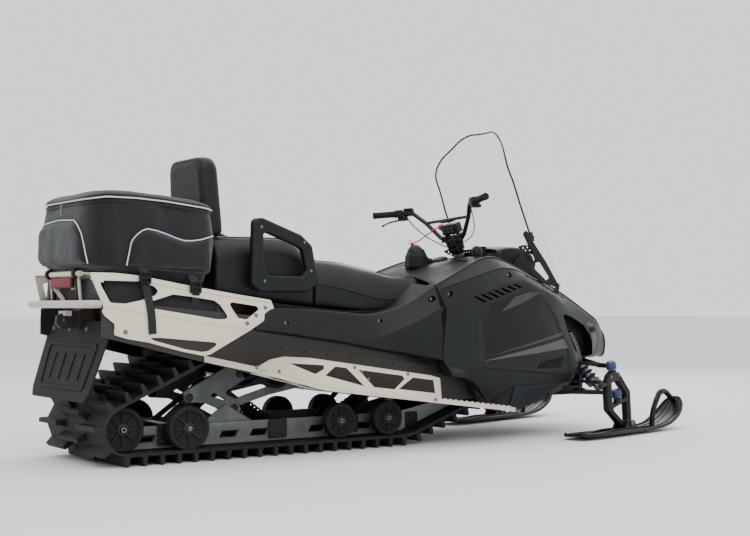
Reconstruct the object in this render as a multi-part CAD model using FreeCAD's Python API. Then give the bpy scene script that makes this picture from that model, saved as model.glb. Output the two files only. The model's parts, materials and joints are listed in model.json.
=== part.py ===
"""Utility snowmobile: a wide track under a long tunnel, two skis, a faceted body,
a long seat with a raised passenger seat, a backrest and a cargo bag on a rack.

Frame: +X forward, +Y to the rider's left, +Z up, in millimetres.  The origin is on the
floor, under the middle of the machine's bounding box.
"""
import FreeCAD, Part

import math
import os

V = FreeCAD.Vector
os.makedirs("parts", exist_ok=True)

# General clearances
seam = 0.3              # gap between two fixed pieces that seat on each other
running = 0.05          # radial clearance of a pin in its bore
sheet = 3.0             # folded sheet metal
skin = 4.0              # moulded body panels

# Track
track_half = 300.0      # half the width of the belt
belt_inside_z = 52.0    # height of the belt's inner face on the flat
belt_thick = 14.0
lug_high = 38.0
lug_pitch = 76.0
lug_root = 24.0
lug_tip = 12.0
wheel_gap = 0.4         # between a wheel and the belt's inner face
rear_wheel_x = -1470.0
rear_wheel_r = 93.0
bend_x = -110.0         # where the flat run starts to climb to the drive axle
bend_r = 300.0
drive_x = 405.0
drive_z = 330.0
drive_r = 105.0
crown_x = -960.0        # where the top run starts to fall to the rear wheels
crown_z = 440.0
crown_r = 350.0

# Slide rails and wheels
rail_y = 205.0
rail_thick = 16.0
rail_high = 92.0
rail_gap = 4.0
rail_rear_x = -1496.0
rear_wheel_y = 232.0
rail_front_x = 265.0
axle_r = 10.0
idler_r = 80.0
idler_y = 268.0
idler_wide = 44.0
carrier_x = -700.0
carrier_z = 358.0
carrier_r = 80.0

# Tunnel
tunnel_room = 31.0      # from the belt's edge to the wall's outer face
tunnel_half = track_half + tunnel_room
tunnel_lean = 0.19      # inward lean of the wall above the crease, per unit of height
tunnel_rear_x = -1600.0
tunnel_front_x = 596.0

# Steering
parked_turn = 12.0      # the machine stands with its skis turned this much to the left
post_foot = (490.0, 0.0, 870.0)
post_lean = 22.0        # the post leans back by this much
post_r = 15.0
kingpin_y = 500.0
upper_ball = (1052.0, 346.0)
lower_ball = (1087.0, 206.0)
stud_r = 8.0
ski_bolt = (1155.0, 50.0)
ski_bolt_r = 8.0
steer_arm = (-118.0, 0.0)   # tie rod eye seen from the kingpin, before the turn
tie_rod_z = 282.0
tie_pin_r = 6.0


def xz(points, y):
    """Side view points (x, z) placed at one width."""
    return [V(x, y, z) for x, z in points]


def rounded_wire(points, radius, closed=True):
    """Wire through the points, each corner an arc as large as its two runs allow."""
    count = len(points)
    radii = radius if isinstance(radius, (list, tuple)) else [radius] * count
    stops = []
    for i, point in enumerate(points):
        if radii[i] <= 0 or (not closed and i in (0, count - 1)):
            stops.append((point, None, point))
            continue
        before = points[i - 1] - point
        after = points[(i + 1) % count] - point
        half = before.getAngle(after) / 2
        if half > math.pi / 2 - 1e-3:
            stops.append((point, None, point))
            continue
        reach = min(radii[i] / math.tan(half), 0.48 * before.Length, 0.48 * after.Length)
        u = V(before).normalize()
        w = V(after).normalize()
        bisector = (u + w).normalize()
        fitted = reach * math.tan(half)
        centre = point + bisector * (fitted / math.sin(half))
        stops.append((point + u * reach, centre - bisector * fitted, point + w * reach))
    edges = []
    for i, (start, middle, end) in enumerate(stops):
        if middle is not None:
            edges.append(Part.Arc(start, middle, end).toShape())
        if i == count - 1 and not closed:
            break
        following = stops[(i + 1) % count][0]
        if end.distanceToPoint(following) > 1e-6:
            edges.append(Part.makeLine(end, following))
    return Part.Wire(edges)


def plate(points, push, radius=0, holes=()):
    """Flat outline with holes, given thickness along push.  Each hole is (points, radius)."""
    face = Part.Face(rounded_wire(points, radius))
    for hole_points, hole_radius in holes:
        face = face.cut(Part.Face(rounded_wire(hole_points, hole_radius)))
    return face.extrude(push)


def side_plate_shape(points, y_start, thick, radius=0, holes=()):
    """Side view outline, thickness along Y from y_start."""
    cuts = [(xz(hole, y_start), hole_radius) for hole, hole_radius in holes]
    return plate(xz(points, y_start), V(0, thick, 0), radius, cuts)


def tube(points, radius, bend, sides=10):
    """Bar along the points with flat sides.  A sharp bend gets one or two short runs."""
    stops = [V(*p) for p in points]
    path = stops[:1]
    for before, corner, after in zip(stops, stops[1:], stops[2:]):
        back, ahead = before - corner, after - corner
        turn = math.pi - back.getAngle(ahead)
        if turn < math.radians(30):
            path.append(corner)
            continue
        reach = min(bend * math.tan(turn / 2), 0.45 * back.Length, 0.45 * ahead.Length)
        fitted = reach / math.tan(turn / 2)
        u = V(back).normalize()
        w = V(ahead).normalize()
        path.append(corner + u * reach)
        if turn > math.radians(70):
            middle = V(u + w).normalize()
            path.append(corner + middle * (fitted / math.cos(turn / 2) - fitted))
        path.append(corner + w * reach)
    path.append(stops[-1])
    runs = [V(end - start).normalize() for start, end in zip(path, path[1:])]
    side = runs[0].cross(V(0, 0, 1))
    side = side.normalize() if side.Length > 0.1 else V(1, 0, 0)
    up = side.cross(runs[0])
    ring = []
    for k in range(sides):
        a = 2 * math.pi * k / sides
        ring.append(path[0] + side * (radius * math.cos(a)) + up * (radius * math.sin(a)))
    rings = [ring]
    for i, along in enumerate(runs):
        normal = along + runs[i + 1] if i + 1 < len(runs) else along
        stop = path[i + 1]
        ring = [p + along * ((stop - p).dot(normal) / along.dot(normal)) for p in ring]
        rings.append(ring)
    return loft(rings)


def bar(start, end, radius, sides=10):
    """Straight bar with flat sides, for pieces that nothing turns on."""
    return tube([tuple(start), tuple(end)], radius, 0, sides)


def rod(start, end, radius):
    """Straight round bar between two points."""
    run = V(*end) - V(*start)
    return Part.makeCylinder(radius, run.Length, V(*start), run)


def box(x, y, z):
    """Box from three (low, high) pairs."""
    return Part.makeBox(x[1] - x[0], y[1] - y[0], z[1] - z[0], V(x[0], y[0], z[0]))


def facet(points):
    return Part.Face(Part.makePolygon(points + points[:1]))


def loft(sections):
    """Solid with flat facets through sections of equal numbers of points."""
    faces = [facet(list(sections[0])), facet(list(sections[-1]))]
    for low, high in zip(sections, sections[1:]):
        for i, a in enumerate(low):
            b = low[(i + 1) % len(low)]
            c = high[(i + 1) % len(low)]
            d = high[i]
            normal = (b - a).cross(c - a)
            if abs(normal.dot(d - a)) < 1e-3 * max(normal.Length, 1e-9):
                faces.append(facet([a, b, c, d]))
            elif (c - a).Length < (d - b).Length:
                faces += [facet([a, b, c]), facet([a, c, d])]
            else:
                faces += [facet([a, b, d]), facet([b, c, d])]
    shell = Part.makeShell(faces)
    shell.sewShape()
    solid = Part.Solid(shell)
    return solid if solid.Volume > 0 else Part.Solid(shell.reversed())


def mirrored(shape):
    return shape.mirror(V(0, 0, 0), V(0, 1, 0))


def fuse(shapes):
    if len(shapes) == 1:
        return shapes[0]
    return shapes[0].multiFuse(shapes[1:]).removeSplitter()


def save(name, shape):
    shape.exportStep("parts/" + name + ".step")


def save_pair(name, right_shape):
    """The right side is modelled, the left side is its mirror image."""
    save(name + "_r", right_shape)
    save(name + "_l", mirrored(right_shape))


# The belt runs round four circles: x, z, radius
rear_wheel_z = belt_inside_z + rear_wheel_r
circles = [
    (rear_wheel_x, rear_wheel_z, rear_wheel_r),
    (bend_x, belt_inside_z + bend_r, bend_r),
    (drive_x, drive_z, drive_r),
    (crown_x, crown_z - crown_r, crown_r),
]


def belt_runs():
    """Straight runs of the belt between circles: start, end and outward normal."""
    runs = []
    for i, (ax, az, ar) in enumerate(circles):
        bx, bz, br = circles[(i + 1) % len(circles)]
        length = math.hypot(bx - ax, bz - az)
        ex, ez = (bx - ax) / length, (bz - az) / length
        along = (ar - br) / length
        out = math.sqrt(1 - along * along)
        nx = ex * along + ez * out
        nz = ez * along - ex * out
        runs.append(((ax + nx * ar, az + nz * ar), (bx + nx * br, bz + nz * br), (nx, nz)))
    return runs


def belt_pieces():
    """Runs and arcs in order, each with its length."""
    runs = belt_runs()
    pieces = []
    for i, (start, end, normal) in enumerate(runs):
        pieces.append(("run", start, end, normal, math.dist(start, end)))
        cx, cz, r = circles[(i + 1) % len(circles)]
        a = math.atan2(normal[1], normal[0])
        following = runs[(i + 1) % len(runs)][2]
        turn = (math.atan2(following[1], following[0]) - a) % (2 * math.pi)
        pieces.append(("arc", (cx, cz), r, (a, turn), r * turn))
    return pieces


def belt_point(pieces, distance, out):
    """Point at a distance along the belt's inner face and this far outside it."""
    total = sum(piece[-1] for piece in pieces)
    rest = distance % total
    for piece in pieces:
        if rest <= piece[-1]:
            break
        rest -= piece[-1]
    if piece[0] == "run":
        (sx, sz), (ex, ez), (nx, nz) = piece[1:4]
        f = rest / piece[-1]
        return (sx + (ex - sx) * f + nx * out, sz + (ez - sz) * f + nz * out)
    (cx, cz), r, (a, turn) = piece[1:4]
    angle = a + rest / r
    return (cx + (r + out) * math.cos(angle), cz + (r + out) * math.sin(angle))


def belt_inner_wire(pieces, y):
    edges = []
    for piece in pieces:
        if piece[0] == "run":
            (sx, sz), (ex, ez) = piece[1:3]
            edges.append(Part.makeLine(V(sx, y, sz), V(ex, y, ez)))
            continue
        (cx, cz), r, (a, turn) = piece[1:4]
        three = [V(cx + r * math.cos(a + f * turn), y, cz + r * math.sin(a + f * turn))
                 for f in (0, 0.5, 1)]
        edges.append(Part.Arc(*three).toShape())
    return Part.Wire(edges)


def track():
    """Belt with three rows of lugs, the middle row half a pitch behind the outer ones."""
    pieces = belt_pieces()
    total = sum(piece[-1] for piece in pieces)
    count = round(total / lug_pitch)
    pitch = total / count
    row_edge = 105.0
    rows = [(-track_half, -row_edge, 0.0), (-row_edge, row_edge, 0.5), (row_edge, track_half, 0.0)]
    bands = []
    for low, high, phase in rows:
        outline = []
        for k in range(count):
            s = (k + phase) * pitch
            outline.append(belt_point(pieces, s - lug_root / 2, belt_thick))
            outline.append(belt_point(pieces, s - lug_tip / 2, belt_thick + lug_high))
            outline.append(belt_point(pieces, s + lug_tip / 2, belt_thick + lug_high))
            outline.append(belt_point(pieces, s + lug_root / 2, belt_thick))
        face = facet(xz(outline, low)).cut(Part.Face(belt_inner_wire(pieces, low)))
        bands.append(face.extrude(V(0, high - low, 0)))
    return fuse(bands)


def wheel(x, y, z, radius, wide):
    """Idler wheel, a plain disc with its tread."""
    return bar((x, y - wide / 2, z), (x, y + wide / 2, z), radius, 20)


def track_wheels():
    """Outer wheels on stub axles at the rails; the middle and carrier wheels on cross axles."""
    wheel_z = belt_inside_z + idler_r
    stub_in = rail_y + seam
    inner = rail_y - rail_thick - seam
    shaft = tunnel_half - sheet - seam
    stubs = [
        (rear_wheel_x, rear_wheel_z, rear_wheel_r - wheel_gap, rear_wheel_y),
        (-435.0, wheel_z, idler_r - wheel_gap, idler_y),
        (-174.0, wheel_z, idler_r - wheel_gap, idler_y),
    ]
    solids = []
    for x, z, radius, y in stubs:
        for side in (-1, 1):
            axle = bar((x, side * stub_in, z), (x, side * (y + idler_wide / 2 + 10.0), z), axle_r)
            solids.append(fuse([axle, wheel(x, side * y, z, radius, idler_wide)]))
    middle = bar((rear_wheel_x, -inner, rear_wheel_z), (rear_wheel_x, inner, rear_wheel_z), axle_r)
    solids.append(fuse([middle, wheel(rear_wheel_x, 0.0, rear_wheel_z, rear_wheel_r - wheel_gap,
                                      idler_wide)]))
    carrier = [bar((carrier_x, -shaft, carrier_z), (carrier_x, shaft, carrier_z), axle_r)]
    carrier += [wheel(carrier_x, y, carrier_z, carrier_r, idler_wide) for y in (-150.0, 150.0)]
    solids.append(fuse(carrier))
    return Part.makeCompound(solids)


def drive_axle():
    """Shaft with three toothed drivers inside the belt."""
    teeth = 8
    tip = drive_r - wheel_gap - 1.0
    root = tip - 14.0
    driver_wide = 26.0
    shaft_r = 16.0
    reach = tunnel_half - sheet - seam
    outline = []
    for k in range(teeth):
        for f, r in ((-0.36, root), (-0.16, tip), (0.16, tip), (0.36, root)):
            a = 2 * math.pi * (k + f) / teeth
            outline.append((drive_x + r * math.cos(a), drive_z + r * math.sin(a)))
    solids = [bar((drive_x, -reach, drive_z), (drive_x, reach, drive_z), shaft_r)]
    for y in (-140.0, 140.0):
        solids.append(side_plate_shape(outline, y - driver_wide / 2, driver_wide))
    return fuse(solids)


def line_z(points, x):
    """Height of a broken line at x."""
    for (ax, az), (bx, bz) in zip(points, points[1:]):
        if x <= bx:
            break
    return az + (bz - az) * (x - ax) / (bx - ax)


# Edges seen from the side: x, z
board_line = [(-1567.0, 523.0), (-640.0, 285.0), (428.0, 146.0)]
crease_line = [(-1600.0, 595.0), (-900.0, 497.0), (40.0, 366.0), (596.0, 392.0)]
tunnel_top_line = [(-1600.0, 668.0), (-900.0, 604.0), (40.0, 560.0), (596.0, 545.0)]


def tunnel():
    """Folded sheet: vertical wall, crease, leaning wall and flat top, open below."""
    sections_out = []
    sections_in = []
    for station in (tunnel_rear_x, -900.0, 40.0, tunnel_front_x):
        for inset, sections in ((0.0, sections_out), (sheet, sections_in)):
            x = station
            if inset and station == tunnel_rear_x:
                x -= 20.0
            if inset and station == tunnel_front_x:
                x -= sheet
            crease = line_z(crease_line, x)
            top = line_z(tunnel_top_line, x) - inset
            low = line_z(board_line, max(x, -1567.0)) if x < 428.0 else 210.0
            low_edge = low - (40.0 if inset else 0.0)
            half = tunnel_half - inset
            top_half = half - (top - crease) * tunnel_lean
            sections.append([V(x, -half, low_edge), V(x, -half, crease), V(x, -top_half, top),
                             V(x, top_half, top), V(x, half, crease), V(x, half, low_edge)])
    return loft(sections_out).cut(loft(sections_in))


# Running board, foot frame, chain case
case_y = tunnel_half + 55.0
board_half = tunnel_half + 149.0
board_rear_x = -930.0
board_front_x = 428.0
lip_high = 24.0


def running_board():
    """Stepped board on the tunnel's edge with a serrated lip and a foot frame."""
    inner = -(tunnel_half + seam)
    outer = -board_half
    stations = [board_rear_x, -640.0, board_front_x]
    sections = []
    for x in stations:
        z = line_z(board_line, x)
        sections.append([V(x, inner, z), V(x, outer, z), V(x, outer, z + sheet),
                         V(x, inner, z + sheet)])
    board = loft(sections)
    slots = []
    slot_x = -880.0
    while slot_x < board_front_x - 60:
        z = line_z(board_line, slot_x + 20)
        slots.append(box((slot_x, slot_x + 90), (outer + 22, inner - 22), (z - 40, z + 40)))
        slot_x += 130.0
    case_room = box((190.0, board_front_x + 1), (-(case_y + 8.0), inner), (80.0, 260.0))
    board = board.cut(Part.makeCompound(slots)).cut(case_room)
    tooth = 32.0
    upper = []
    x = -60.0
    while x <= board_front_x:
        upper.append((x, line_z(board_line, x) + lip_high))
        if x + tooth / 2 < board_front_x:
            upper.append((x + tooth / 2, line_z(board_line, x + tooth / 2) + lip_high - 6))
        x += tooth
    upper[-1] = (board_front_x, line_z(board_line, board_front_x) + lip_high - 6)
    lip = [(board_rear_x, line_z(board_line, board_rear_x) - 2),
           (-640.0, line_z(board_line, -640.0) - 2),
           (board_front_x, line_z(board_line, board_front_x) - 2)]
    lip = lip + upper[::-1] + [(-640.0, line_z(board_line, -640.0) + lip_high),
                               (board_rear_x, line_z(board_line, board_rear_x) + lip_high)]
    lip_plate = side_plate_shape(lip, outer - sheet, sheet)
    tail_y = plate_y - seam - sheet
    tail = plate([V(board_rear_x, outer - sheet, line_z(board_line, board_rear_x) - 2),
                  V(board_rear_x, outer - sheet, line_z(board_line, board_rear_x) + lip_high),
                  V(-1150.0, tail_y, line_z(board_line, -1150.0) + lip_high),
                  V(-1150.0, tail_y, line_z(board_line, -1150.0) - 2)], V(0, sheet, 0))
    frame_outline = [(-988.0, 392.0), (-925.0, 423.0), (-856.0, 434.0), (-729.0, 426.0),
                     (-84.0, 332.0), (-30.0, 318.0), (-20.0, 220.0), (-250.0, 245.0),
                     (-640.0, 300.0)]
    frame_radius = [0, 60, 0, 60, 0, 0, 0, 0, 0]
    windows = [
        ([(-830.0, 406.0), (-657.0, 393.0), (-657.0, 376.0), (-700.0, 356.0)], 0),
        ([(-651.0, 349.0), (-600.0, 386.0), (-542.0, 379.0), (-446.0, 296.0)], 0),
        ([(-480.0, 369.0), (-242.0, 336.0), (-229.0, 320.0), (-284.0, 276.0), (-396.0, 290.0)], 0),
        ([(-262.0, 277.0), (-184.0, 326.0), (-66.0, 310.0), (-56.0, 250.0)], 0),
    ]
    frame_plate = side_plate_shape(frame_outline, outer - 2 * sheet, sheet, frame_radius, windows)
    return fuse([board, lip_plate, tail, frame_plate])


# Rack and tail
rack_bar_r = 10.0
tail_bar_x = -1627.0
tail_bar_z = 776.0

# Tow hitch
hitch_hole = (-1632.0, 586.0)
hitch_hole_r = 8.5
hitch_thick = 16.0

# Rear side plate: the part above the bend line leans in towards the rack
plate_thick = 4.0
plate_y = -(tunnel_half + seam + plate_thick)
plate_lean = 0.28       # inward lean of the upper part, per unit of height
bend_line = [(-1589.0, 643.0), (-925.0, 542.0)]


rack_rail = [(-1632.0, 770.0), (-1415.0, 760.0), (-1190.0, 724.0), (-958.0, 681.0), (-800.0, 664.0)]
rack_rail_r = 13.0


def lean_point(x, z):
    """Point of the leaning upper plate, on its outer face."""
    rise = z - line_z(bend_line, x)
    return V(x, plate_y + plate_lean * rise, z)


def rear_side_plate():
    """Side plate with four windows, bent along its length, with the rack rail on its top edge."""
    low_outline = [(-1592.0, 643.4), (-925.0, 542.0), (-1129.0, 440.0), (-1461.0, 500.0),
                   (-1543.0, 525.0), (-1548.0, 573.0), (-1600.0, 625.0)]
    low_window = [(-1399.0, 519.0), (-1090.0, 493.0), (-1151.0, 455.0), (-1217.0, 463.0)]
    lower = side_plate_shape(low_outline, plate_y, plate_thick, [0, 0, 12, 0, 0, 0, 0],
                             [(low_window, 12)])
    upper_outline = [(-1592.0, 643.4), (-1636.0, 772.0), (-1415.0, 762.0), (-1190.0, 726.0),
                     (-958.0, 683.0), (-800.0, 668.0), (-792.0, 616.0), (-925.0, 542.0)]
    windows = [
        ([(-1580.0, 741.0), (-1415.0, 727.0), (-1345.0, 714.0), (-1350.0, 694.0),
          (-1420.0, 665.0), (-1500.0, 655.0), (-1553.0, 661.0)], 0),
        ([(-1262.0, 690.0), (-1072.0, 655.0), (-1025.0, 602.0), (-1050.0, 589.0),
          (-1388.0, 640.0), (-1382.0, 660.0)], 0),
        ([(-1010.0, 664.0), (-876.0, 645.0), (-868.0, 634.0), (-948.0, 588.0),
          (-976.0, 592.0)], 0),
    ]
    lean = math.atan(plate_lean)
    inward = V(0, plate_thick * math.cos(lean), -plate_thick * math.sin(lean))
    holes = [([lean_point(x, z) for x, z in hole], r) for hole, r in windows]
    upper = plate([lean_point(x, z) for x, z in upper_outline], inward, 0, holes)
    rail = tube([tuple(lean_point(x, z)) for x, z in rack_rail], rack_rail_r, 300)
    return fuse([lower, upper, rail])


def rear_bumper():
    """Loop round the tail, its ends on the rear edges of the tunnel and side plates."""
    bumper_r = 16.0
    half = tunnel_half - 10.0
    rear = tunnel_rear_x - 50.0
    start = tunnel_rear_x - seam
    return tube([(start, -half, 652.0), (rear, -half, 652.0), (rear, half, 652.0),
                 (start, half, 652.0)], bumper_r, 44, 12)


def cargo_rack():
    """Channels between the rack rails, floor slats and the tail bar with its caps and posts."""
    bars = []
    for x in (-1560.0, -1300.0, -1060.0):
        z = line_z(rack_rail, x)
        reach = -lean_point(x, z).y - rack_rail_r - seam
        bars.append(box((x - rack_bar_r, x + rack_bar_r), (-reach, reach), (z - rack_bar_r, z + 6.0)))
    strip_x = (tail_bar_x, -1415.0, -1190.0, -1048.0)
    lower = [(x, line_z(rack_rail, x) + 4.0) for x in strip_x]
    strip = lower + [(x, z + 8.0) for x, z in lower[::-1]]
    for y in (-190.0, -70.0, 50.0, 170.0):
        bars.append(side_plate_shape(strip, y, 20.0))
    bars.append(bar((tail_bar_x, -181.0, tail_bar_z), (tail_bar_x, 181.0, tail_bar_z), 12.0))
    for side in (-1, 1):
        bars.append(bar((tail_bar_x, side * 135.0, tail_bar_z), (tail_bar_x, side * 152.0, tail_bar_z),
                        17.0))
        bars.append(box((tail_bar_x, tail_bar_x + 20.0), (side * 96.0 - 8, side * 96.0 + 8),
                        (712.0, tail_bar_z)))
    return fuse(bars)


def tail_light():
    """Lamp on the posts under the tail bar."""
    front = tail_bar_x - seam
    return side_plate_shape([(front - 14.0, 728.0), (front - 14.0, 752.0), (front, 758.0),
                             (front, 722.0)], -110.0, 220.0)


def snow_flap():
    """Flexible flap behind the track with rounded lower corners and a stiffening frame."""
    half = 305.0
    top_half = tunnel_half - sheet - seam
    thick = 6.0
    top = V(-1545.0, 0, 584.0)
    foot = V(-1650.0, 0, 262.0)
    run = foot - top
    side = V(0, half, 0)
    top_side = V(0, top_half, 0)
    outline = [top - top_side, top + top_side, foot + side, foot - side]
    normal = V(run.z, 0, -run.x).normalize()
    body = plate(outline, normal * thick, [0, 0, 70, 70])
    hitch_room = 52.0
    body = body.cut(box((-1600.0, -1500.0), (-hitch_room, hitch_room), (540.0, 620.0)))
    inner = []
    for f, w in ((0.3, 0.70), (0.3, -0.70), (0.88, -0.74), (0.88, 0.74)):
        inner.append(top + run * f + side * w)
    hole = [p + (p - (top + run * 0.59)) * -0.12 for p in inner]
    ridge = plate([p + normal * thick for p in inner], normal * 6.0, 0,
                  [([p + normal * thick for p in hole], 0)])
    return fuse([body, ridge])


def tow_hitch():
    """Upright tongue under the tail with a cross hole for a shackle's bolt."""
    under = sheet + seam
    arm = side_plate_shape([(-1500.0, 552.0), (-1500.0, line_z(tunnel_top_line, -1500.0) - under),
                            (-1570.0, line_z(tunnel_top_line, -1570.0) - under),
                            (-1570.0, 552.0)], -30.0, 60.0)
    tongue = side_plate_shape([(-1560.0, 552.0), (-1560.0, 626.0), (-1618.0, 620.0), (-1656.0, 606.0),
                               (-1660.0, 572.0), (-1640.0, 552.0)], -hitch_thick / 2, hitch_thick)
    hole = rod((hitch_hole[0], -40.0, hitch_hole[1]), (hitch_hole[0], 40.0, hitch_hole[1]), hitch_hole_r)
    return fuse([tongue, arm]).cut(hole)


def cushion(rows):
    """Six-sided cushion sections: x, bottom, side height, top, half width below and above."""
    sections = []
    for x, low, mid, high, half_low, half_high in rows:
        sections.append([V(x, -half_low, low), V(x, half_low, low), V(x, half_low, mid),
                         V(x, half_high, high), V(x, -half_high, high), V(x, -half_low, mid)])
    return loft(sections)


neck_half = 128.0
neck_rear = 104.0


def rider_seat():
    """Long seat whose nose goes round the dash's neck."""
    seat = cushion([
        (-544.5, 640.0, 760.0, 852.0, 238.0, 170.0),
        (-375.0, 625.0, 740.0, 846.0, 238.0, 165.0),
        (-135.0, 626.0, 722.0, 806.0, 225.0, 160.0),
        (60.0, 680.0, 735.0, 788.0, 215.0, 160.0),
        (212.0, 700.0, 748.0, 780.0, 205.0, 160.0),
        (318.0, 724.0, 738.0, 752.0, 190.0, 150.0),
    ])
    gap = 2.0
    return seat.cut(box((neck_rear - gap, 340.0), (-neck_half - gap, neck_half + gap), (640.0, 900.0)))


def seat_base():
    """Moulded base between the tunnel's top and both seats."""
    rows = []
    for x, top in ((-1040.0, 690.0), (-872.0, 670.0), (-545.0, 640.0), (-375.0, 625.0),
                   (-135.0, 626.0), (60.0, 680.0)):
        low = line_z(tunnel_top_line, x) + seam
        rows.append((x, low, top - seam - 1.0, top - seam, 232.0, 200.0))
    return cushion(rows)


def passenger_seat():
    return cushion([
        (-1040.0, 690.0, 860.0, 940.0, 225.0, 175.0),
        (-872.0, 670.0, 870.0, 949.0, 238.0, 180.0),
        (-641.0, 650.0, 865.0, 949.0, 238.0, 180.0),
        (-545.0, 640.0, 770.0, 862.0, 238.0, 172.0),
    ])


def backrest():
    """Upright pad with a recessed handle opening through its upper part."""
    half = 175.0
    back = V(-24.0, 0, 350.0)
    foot = V(-1052.0, 0, 939.3)
    thick = V(92.0, 0, 8.0)
    outline = [foot + V(0, -half, 0), foot + V(0, half, 0), foot + back + V(0, half - 20, 0),
               foot + back + V(0, 20 - half, 0)]
    opening = [foot + back * 0.77 + V(0, -85.0, 0), foot + back * 0.77 + V(0, 85.0, 0),
               foot + back * 0.91 + V(0, 75.0, 0), foot + back * 0.91 + V(0, -75.0, 0)]
    pad = plate(outline, thick, [0, 0, 60, 60], [(opening, 18)])
    return pad


def hand_grip():
    """D-shaped loop beside the passenger seat, bolted through a pad at its foot."""
    outer = [(-862.0, 706.0), (-905.0, 740.0), (-896.0, 1020.0), (-850.0, 1026.0),
             (-655.0, 958.0), (-598.0, 912.0), (-563.0, 745.0), (-618.0, 706.0)]
    inner = [(-815.0, 776.0), (-836.0, 800.0), (-846.0, 955.0), (-830.0, 962.0),
             (-675.0, 908.0), (-648.0, 890.0), (-626.0, 802.0), (-648.0, 776.0)]
    seat_side = 238.0 + seam
    loop = side_plate_shape(outer, -302.0, 36.0, [30, 30, 30, 0, 50, 50, 0, 40],
                            [(inner, [18, 0, 18, 0, 30, 30, 0, 18])])
    bosses = [bar((x, -270.0, 742.0), (x, -seat_side, 742.0), 14.0) for x in (-835.0, -640.0)]
    return fuse([loop] + bosses)


def cover_point(x, z):
    """Point on the plane of the tunnel's leaning wall."""
    return V(x, -(tunnel_half + seam) + tunnel_lean * (z - line_z(crease_line, x)), z)


def side_cover():
    """Moulded cover between the seat and the tunnel, with a foot-side flange."""
    outline = [(-900.0, 540.0), (-671.0, 516.0), (-374.0, 486.0), (-2.0, 421.0), (30.0, 416.0),
               (40.0, 560.0), (0.0, 700.0), (-135.0, 626.0), (-254.0, 612.0), (-485.0, 624.0),
               (-690.0, 636.0), (-779.0, 640.0), (-779.0, 610.0)]
    radius = [0, 200, 200, 200, 0, 0, 0, 60, 80, 80, 0, 0, 0]
    lean_back = V(0, -math.cos(math.atan(tunnel_lean)), -math.sin(math.atan(tunnel_lean)))
    return plate([cover_point(x, z) for x, z in outline], lean_back * 12.0, radius)


# Body panels: at each x the half section's corners, each (half width, height)
# shoulder, upper side, widest, lower side, keel
body_rows = [
    (40.0, (395, 742), (418, 690), (432, 600), (430, 450), (425, 379)),
    (200.0, (352, 814), (425, 712), (448, 600), (446, 440), (438, 300)),
    (390.0, (300, 888), (428, 738), (456, 590), (452, 420), (400, 170)),
    (590.0, (290, 848), (420, 732), (452, 570), (444, 400), (340, 150)),
    (780.0, (280, 758), (385, 690), (425, 545), (412, 395), (300, 190)),
    (920.0, (265, 688), (340, 635), (372, 510), (355, 400), (230, 330)),
    (1060.0, (245, 632), (296, 585), (318, 485), (300, 402), (180, 376)),
    (1200.0, (215, 574), (246, 535), (258, 455), (246, 398), (160, 376)),
    (1345.0, (140, 512), (158, 488), (162, 440), (156, 388), (120, 374)),
]
crown_rise = 26.0       # the hood's middle stands this much above its shoulders


def inset_points(points, depth):
    """Open chain of (y, z) points moved inwards by depth, for the panel's inner face."""
    moved = []
    for i, (y, z) in enumerate(points):
        ahead = points[min(i + 1, len(points) - 1)]
        behind = points[max(i - 1, 0)]
        dy, dz = ahead[0] - behind[0], ahead[1] - behind[1]
        length = math.hypot(dy, dz)
        moved.append((y + depth * dz / length, z - depth * dy / length))
    return moved


def panel(rows, pick, depth=skin):
    """Thin ruled panel: pick(row) gives its (y, z) chain at each x, right side."""
    sections = []
    for row in rows:
        chain = pick(row)
        inner = inset_points(chain, depth)
        ring = [V(row[0], -y, z) for y, z in chain]
        ring += [V(row[0], -y, z) for y, z in inner[::-1]]
        sections.append(ring)
    return loft(sections)


def side_panel():
    """Side of the body from the hood's shoulder to the keel, with vents, arch and intake."""
    shape = panel(body_rows, lambda row: row[1:6])
    vents = []
    for k in range(7):
        x = 232.0 + 44.0 * k
        z = 676.0 + 13.5 * k
        vents.append(side_plate_shape([(x, z), (x + 20, z + 5), (x + 46, z + 52), (x + 26, z + 47)],
                                      -520.0, 150.0))
    for k in range(9):
        x = 650.0 + 17.0 * k
        vents.append(side_plate_shape([(x, 352.0 + k), (x + 7, 352.0 + k), (x + 30, 397.0),
                                       (x + 23, 397.0)], -520.0, 190.0))
    arch = side_plate_shape([(-20.0, 80.0), (-20.0, 379.0), (45.0, 379.0), (80.0, 323.0),
                             (180.0, 310.0), (262.0, 252.0), (311.0, 184.0), (330.0, 80.0)],
                            -520.0, 200.0, [0, 0, 0, 30, 60, 60, 0, 0])
    intake = side_plate_shape([(946.0, 602.0), (1010.0, 575.0), (1090.0, 520.0), (1096.0, 426.0),
                               (1050.0, 426.0), (985.0, 470.0)], -520.0, 300.0, 10)
    arms_room = box((905.0, 1150.0), (-520.0, -100.0), (300.0, 398.0))
    return shape.cut(Part.makeCompound(vents)).cut(arch).cut(intake).cut(arms_room)


def hood():
    """Top panel between the shoulders, from the instrument hood to the nose."""
    sections = []
    for row in body_rows[3:]:
        x = row[0]
        y, z = row[1]
        y -= 5.0
        z -= 1.0
        sections.append([V(x, -y, z), V(x, 0, z + crown_rise), V(x, y, z),
                         V(x, y - skin, z - skin), V(x, 0, z + crown_rise - skin),
                         V(x, skin - y, z - skin)])
    return loft(sections)


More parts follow.
